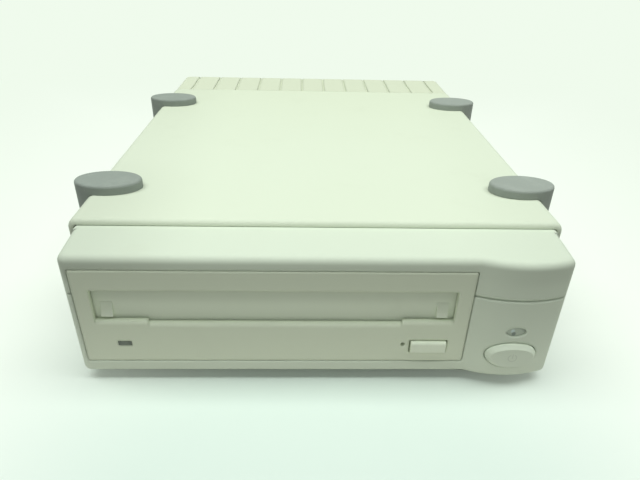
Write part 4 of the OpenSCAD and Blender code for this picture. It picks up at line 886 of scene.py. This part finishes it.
def cut_screw(length, sides):
    """One screw with a cross recess, as a mesh."""
    made = bmesh.new()
    lathe(made, screw_profile(length), sides)
    bmesh.ops.recalc_face_normals(made, faces=made.faces)
    blank = bpy.data.objects.new("screw_blank", finished_mesh("screw_blank", made))
    cutter = bpy.data.objects.new("cross_cutter", cross_cutter())
    for piece in (blank, cutter):
        bpy.context.scene.collection.objects.link(piece)
    cut = blank.modifiers.new("cross", "BOOLEAN")
    cut.operation = "DIFFERENCE"
    cut.solver = "EXACT"
    cut.use_self = True
    cut.object = cutter
    bpy.context.view_layer.update()
    done = bpy.data.meshes.new_from_object(blank.evaluated_get(bpy.context.evaluated_depsgraph_get()))
    for piece in (blank, cutter):
        spare = piece.data
        bpy.data.objects.remove(piece)
        bpy.data.meshes.remove(spare)
    return done


def head_tops(node, inward):
    """Middles of the outer faces of a node's screw heads, as packed."""
    points = [vert.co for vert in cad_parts[node].data.vertices]
    outer = min(point.dot(inward) for point in points)
    same_plane, same_head = 0.05 * MM, 7 * MM
    heads = []
    for point in points:
        if point.dot(inward) - outer > same_plane:
            continue
        home = next((head for head in heads if (head[0] - point).length < same_head), None)
        if home is None:
            heads.append([point])
        else:
            home.append(point)
    tops = []
    for head in heads:
        low = Vector([min(point[k] for point in head) for k in range(3)])
        high = Vector([max(point[k] for point in head) for k in range(3)])
        tops.append((low + high) / 2)
    return tops


def dress_screws(node, way, material, sides):
    """Replaces a node's plain screws with domed, cross-cut ones, each turned its own way."""
    inward = Vector(way)
    low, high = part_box(node)
    one = cut_screw(abs((high - low).dot(inward)) - HEAD_HEIGHT, sides)
    made = bmesh.new()
    tilt = Vector((0.0, 0.0, -1.0)).rotation_difference(inward).to_matrix().to_4x4()
    for k, top in enumerate(head_tops(node, inward)):
        spin = Matrix.Rotation(math.radians(23.0 + 41.0 * k), 4, "Z")
        copy = one.copy()
        copy.transform(Matrix.Translation(top + inward * HEAD_HEIGHT) @ tilt @ spin)
        made.from_mesh(copy)
        bpy.data.meshes.remove(copy)
    bpy.data.meshes.remove(one)
    piece = new_piece(node + "_cut", made, material, "case")
    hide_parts(node)


def add_block(made, low, high):
    cube = bmesh.ops.create_cube(made, size=1.0)
    size = Vector(high) - Vector(low)
    bmesh.ops.scale(made, verts=cube["verts"], vec=size)
    bmesh.ops.translate(made, verts=cube["verts"], vec=(Vector(low) + Vector(high)) / 2)


def port_contacts(node, material):
    """Two rows of sprung contacts along a port's insert."""
    low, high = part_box(node)
    middle = (low + high) / 2
    made = bmesh.new()
    count, pitch, row_rise = 25, 1.2 * MM, 1.7 * MM
    half_width, half_thick = 0.32 * MM, 0.16 * MM
    inner, outer = high.y - 3.9 * MM, high.y - 0.35 * MM
    for row in (-1, 1):
        z = middle.z + row * row_rise
        for k in range(count):
            x = middle.x + (k - (count - 1) / 2) * pitch
            add_block(
                made,
                (x - half_width, inner, z - half_thick),
                (x + half_width, outer, z + half_thick),
            )
    piece = new_piece(node + "_contacts", made, material, "case")
    bevel = piece.modifiers.new("edges", "BEVEL")
    bevel.width = 0.1 * MM
    bevel.segments = 2
    bevel.limit_method = "ANGLE"


class DRIVE_OT_case(Operator):
    """Case plastic on the bezels and the cover"""

    bl_idname = "optical_drive.case"
    bl_label = "Case"

    def execute(self, context):
        look = context.scene.drive_look.plastic
        # The bezel's and the cover's plastics carry painted shade towards the ends of the case's top.
        front = moulded_plastic(
            "front_plastic", look, look.front, look.soft_edge, mark_or_painted_shade=painted_end_shade("front_bezel")
        )
        set_finish(("front_bezel",), front)
        cover = moulded_plastic("case_plastic", look, look.colour, look.edge, mark_or_painted_shade=painted_end_shade("top_cover"))
        set_finish(("top_cover",), cover)
        round_edges(("front_bezel", "top_cover"), look.edge)
        set_finish(("rear_bezel",), moulded_plastic("rear_plastic", look, look.rear, look.soft_edge))
        smooth_faces(("rear_bezel",))
        return {"FINISHED"}


class DRIVE_OT_feet(Operator):
    """Rubber on the four wrap-around feet"""

    bl_idname = "optical_drive.feet"
    bl_label = "Feet"

    def execute(self, context):
        look = context.scene.drive_look.rubber
        set_finish(FEET, foot_rubber(look))
        round_edges(FEET, look.edge)
        return {"FINISHED"}


class DRIVE_OT_power_controls(Operator):
    """Power button with its sign, and its light"""

    bl_idname = "optical_drive.power_controls"
    bl_label = "Power controls"

    def execute(self, context):
        look = context.scene.drive_look
        plastic = look.plastic
        button = moulded_plastic(
            "power_button", plastic, plastic.front, plastic.edge, relief=power_relief, mark_or_painted_shade=power_mark
        )
        set_finish(("power_button",), button)
        round_edges(("power_button",), 0.3 * MM)
        set_finish(("power_lens",), power_lens_finish(look.lens))
        round_edges(("power_lens",), 0.3 * MM)
        return {"FINISHED"}


class DRIVE_OT_drive_front(Operator):
    """Front of the drive: faceplate, door, eject button and light window"""

    bl_idname = "optical_drive.drive_front"
    bl_label = "Drive front"

    def execute(self, context):
        look = context.scene.drive_look
        plastic = look.plastic
        plate = moulded_plastic("drive_plastic", plastic, plastic.drive, plastic.soft_edge)
        set_finish(("drive_faceplate",), plate)
        smooth_faces(("drive_faceplate",))
        # The door's plastic is a painted lighter copy, with a painted shadow under the slot's upper edge.
        door = moulded_plastic("door_plastic", plastic, plastic.moving_painted_lighter, plastic.edge, mark_or_painted_shade=painted_door_shadow)
        set_finish(("slot_door",), door)
        # The eject button takes the same painted lighter plastic.
        eject = moulded_plastic("eject_plastic", plastic, plastic.moving_painted_lighter, plastic.edge)
        set_finish(("eject_button",), eject)
        round_edges(("slot_door",), 0.3 * MM)
        round_edges(("eject_button",), 0.5 * MM)
        set_finish(("activity_lens",), activity_lens_finish(look.lens))
        round_edges(("activity_lens",), 0.1 * MM)
        return {"FINISHED"}


class DRIVE_OT_rear_fittings(Operator):
    """Inlet, ports, fan and address dial at the back, and the inner pieces of the same materials"""

    bl_idname = "optical_drive.rear_fittings"
    bl_label = "Rear fittings"

    def execute(self, context):
        look = context.scene.drive_look
        set_finish(DARK_PIECES, dark_plastic(look.fitting))
        round_edges(("mains_inlet", "id_switch"), 0.35 * MM)
        round_edges(("fan_frame", "fan_rotor", "power_switch"), 0.15 * MM)
        set_finish(BUS_PORTS, port_finish(look.metal, look.fitting))
        round_edges(BUS_PORTS, 0.2 * MM)
        brass = turned_steel("contact_brass", look.metal.brass, roughness=0.24)
        set_finish(("inlet_pins", "motor_pinion"), brass)
        round_edges(("inlet_pins",), 0.3 * MM)
        for node in BUS_PORTS:
            port_contacts(node, brass)
        set_finish(("id_dial", "loading_gear"), white_plastic(look.fitting))
        round_edges(("id_dial",), 0.2 * MM)
        return {"FINISHED"}


class DRIVE_OT_sheet_metal(Operator):
    """Plated sheet, turned parts, castings and iron"""

    bl_idname = "optical_drive.sheet_metal"
    bl_label = "Sheet metal"

    def execute(self, context):
        metal = context.scene.drive_look.metal
        set_finish(SHEET_PIECES, plated_sheet("plated_sheet", metal.zinc))
        smooth_faces(SHEET_PIECES)
        set_finish(SLIDER_PIECES, plated_sheet("slider_sheet", metal.steel))
        set_finish(TURNED_PIECES, turned_steel("turned_steel", metal.steel))
        round_edges(("turntable", "guide_rails", "loading_motor"), 0.2 * MM)
        set_finish(CAST_PIECES, cast_alloy("cast_alloy", metal.alloy))
        round_edges(CAST_PIECES, 0.3 * MM)
        set_finish(("coil_yokes", "spindle_motor"), ferrite("yoke_iron", metal.iron))
        round_edges(("coil_yokes",), 0.2 * MM)
        return {"FINISHED"}


class DRIVE_OT_fasteners(Operator):
    """Cross-cut screws and the rubber bushes under the drive"""

    bl_idname = "optical_drive.fasteners"
    bl_label = "Fasteners"

    def execute(self, context):
        look = context.scene.drive_look
        steel = turned_steel("screw_steel", look.metal.steel, roughness=0.3)
        for node, way in SCREW_WAYS.items():
            dress_screws(node, way, steel, look.fitting.screw_sides)
        set_finish(SCREW_WAYS, steel)
        set_finish(("drive_bushes",), foot_rubber(look.rubber))
        round_edges(("drive_bushes",), 0.4 * MM)
        return {"FINISHED"}


class DRIVE_OT_electronics(Operator):
    """Boards, power supply, coils, wiring and the head's lens"""

    bl_idname = "optical_drive.electronics"
    bl_label = "Electronics"

    def execute(self, context):
        look = context.scene.drive_look
        fitting, metal = look.fitting, look.metal
        for node in BOARDS:
            set_finish((node,), board_finish(node, fitting))
        set_finish(("bias_coil",), wound_copper("bias_winding", metal.copper))
        set_finish(("carriage_coils",), wound_copper("coil_winding", metal.copper))
        set_finish(("supply_transformer",), transformer_finish(metal, fitting))
        round_edges(("supply_transformer",), 0.4 * MM)
        set_finish(("supply_capacitor",), capacitor_finish(fitting))
        round_edges(("supply_capacitor",), 0.4 * MM)
        set_finish(("ribbon_cable",), ribbon_sleeve(fitting))
        set_finish(("supply_lead", "mains_leads"), lead_sleeve(fitting))
        smooth_faces(("supply_lead", "mains_leads", "ribbon_cable"), angle=50.0)
        set_finish(("objective_lens",), objective_glass(look.lens))
        round_edges(("objective_lens",), 0.15 * MM)
        return {"FINISHED"}


def camera_matrix():
    pitch, yaw, roll = (math.radians(a) for a in (CAMERA_PITCH, CAMERA_YAW, CAMERA_ROLL))
    ahead = Vector((math.sin(yaw) * math.cos(pitch), math.cos(yaw) * math.cos(pitch), -math.sin(pitch)))
    level = Vector((math.cos(yaw), -math.sin(yaw), 0.0))
    above = level.cross(ahead)
    right = level * math.cos(roll) + above * math.sin(roll)
    up = above * math.cos(roll) - level * math.sin(roll)
    turn = Matrix((right, up, -ahead)).transposed().to_4x4()
    return Matrix.Translation(CAMERA_PLACE) @ turn


class DRIVE_OT_stage(Operator):
    """Pale floor, soft light and the camera"""

    bl_idname = "optical_drive.stage"
    bl_label = "Stage"

    def execute(self, context):
        look = context.scene.drive_look.stage
        self.lay_floor(context, look)
        self.light_room(context, look)
        self.hang_lamp(context, "overhead", look.light, look.key, KEY_PLACE, KEY_SIZE)
        self.hang_lamp(context, "front", look.light, look.fill, FILL_PLACE, FILL_SIZE)
        data = bpy.data.cameras.new("camera")
        data.lens = look.lens
        data.sensor_width = 36.0
        data.clip_start = 0.01
        camera = bpy.data.objects.new("camera", data)
        camera.matrix_world = camera_matrix()
        context.scene.collection.objects.link(camera)
        context.scene.camera = camera
        context.scene.view_settings.view_transform = "Standard"
        return {"FINISHED"}

    def lay_floor(self, context, look):
        """A wide disc whose far part turns into the backdrop's own colour, with painted shade in front of
        the object and a painted glow that lightens its shadow.
        """
        made = bmesh.new()
        bmesh.ops.create_circle(made, cap_ends=True, segments=96, radius=FLOOR_RADIUS)
        mesh = finished_mesh("floor", made)
        floor = bpy.data.objects.new("floor", mesh)
        context.scene.collection.objects.link(floor)
        paper = Finish("floor_paper")
        beyond = (paper.x * SHADE_NARROWING).diagonal(paper.y + SHADE_AHEAD).ease(SHADE_FULL, SHADE_END)
        gap = (abs(paper.x) - CASE_SIDE).larger(abs(paper.y) - CASE_END)
        # The backdrop's glow: a little near the object and more beside it, as painted light that lightens
        # its shadow, and full far away.
        far = 0.05 + beyond * (0.35 + gap.ease(0.0, SHADOW_REACH) * 0.6)
        fibre = paper.noise(1.5 * MM)
        seen = paper.seen()
        off_table = paper.x.diagonal(paper.y).ease(look.table, look.table * 1.4)
        shade = paper.mix(off_table, look.bounce, tone(look.bounce, look.dusk))
        # Painted shade: the floor is darker in front of the object than beside and behind it.
        pale = paper.mix(beyond, look.floor, look.far_floor)
        pale = paper.mix(fibre * 0.06, pale, tone(look.floor, 0.94))
        paper.surface(Base_Color=paper.mix(seen, shade, pale), Roughness=0.9, Specular_IOR_Level=0.2)
        skin = Socket(paper, paper.skin.outputs[0])
        glow = paper.glow("ShaderNodeEmission", look.backdrop)
        paper.show("Material Output", paper.blend(far * seen, skin, glow))
        mesh.materials.append(paper.material)

    def light_room(self, context, look):
        """Soft light from all round, with the backdrop's colour where it is looked at."""
        world = bpy.data.worlds.new("room")
        context.scene.world = world
        room = Shader(world)
        around = room.glow("ShaderNodeBackground", look.light, look.ambient)
        shown = room.glow("ShaderNodeBackground", look.backdrop)
        room.show("World Output", room.blend(room.seen(), around, shown))

    def hang_lamp(self, context, name, colour, power, place, size):
        """A soft box that faces the object."""
        data = bpy.data.lights.new(name, "AREA")
        data.shape = "RECTANGLE"
        data.size, data.size_y = size
        data.energy = power
        data.color = colour
        lamp = bpy.data.objects.new(name, data)
        lamp.location = place
        lamp.rotation_mode = "QUATERNION"
        lamp.rotation_quaternion = (-Vector(place)).to_track_quat("-Z", "Y")
        context.scene.collection.objects.link(lamp)


STEPS = (
    DRIVE_OT_stage,
    DRIVE_OT_case,
    DRIVE_OT_feet,
    DRIVE_OT_power_controls,
    DRIVE_OT_drive_front,
    DRIVE_OT_rear_fittings,
    DRIVE_OT_sheet_metal,
    DRIVE_OT_fasteners,
    DRIVE_OT_electronics,
)


class DRIVE_PT_panel(Panel):
    """Lists the drive's steps"""

    bl_label = "Optical drive"
    bl_idname = "DRIVE_PT_panel"
    bl_space_type = "VIEW_3D"
    bl_region_type = "UI"
    bl_category = "Drive"

    def draw(self, context):
        for step in STEPS:
            self.layout.operator(step.bl_idname)


CLASSES = (
    PlasticLook,
    RubberLook,
    MetalLook,
    LensLook,
    FittingLook,
    StageLook,
    DriveLook,
    *STEPS,
    DRIVE_PT_panel,
)


def register():
    for cls in CLASSES:
        bpy.utils.register_class(cls)
    bpy.types.Scene.drive_look = PointerProperty(type=DriveLook)


def unregister():
    del bpy.types.Scene.drive_look
    for cls in reversed(CLASSES):
        bpy.utils.unregister_class(cls)


def main():
    register()
    for step in STEPS:
        group, name = step.bl_idname.split(".")
        getattr(getattr(bpy.ops, group), name)()


if __name__ == "__main__":
    main()
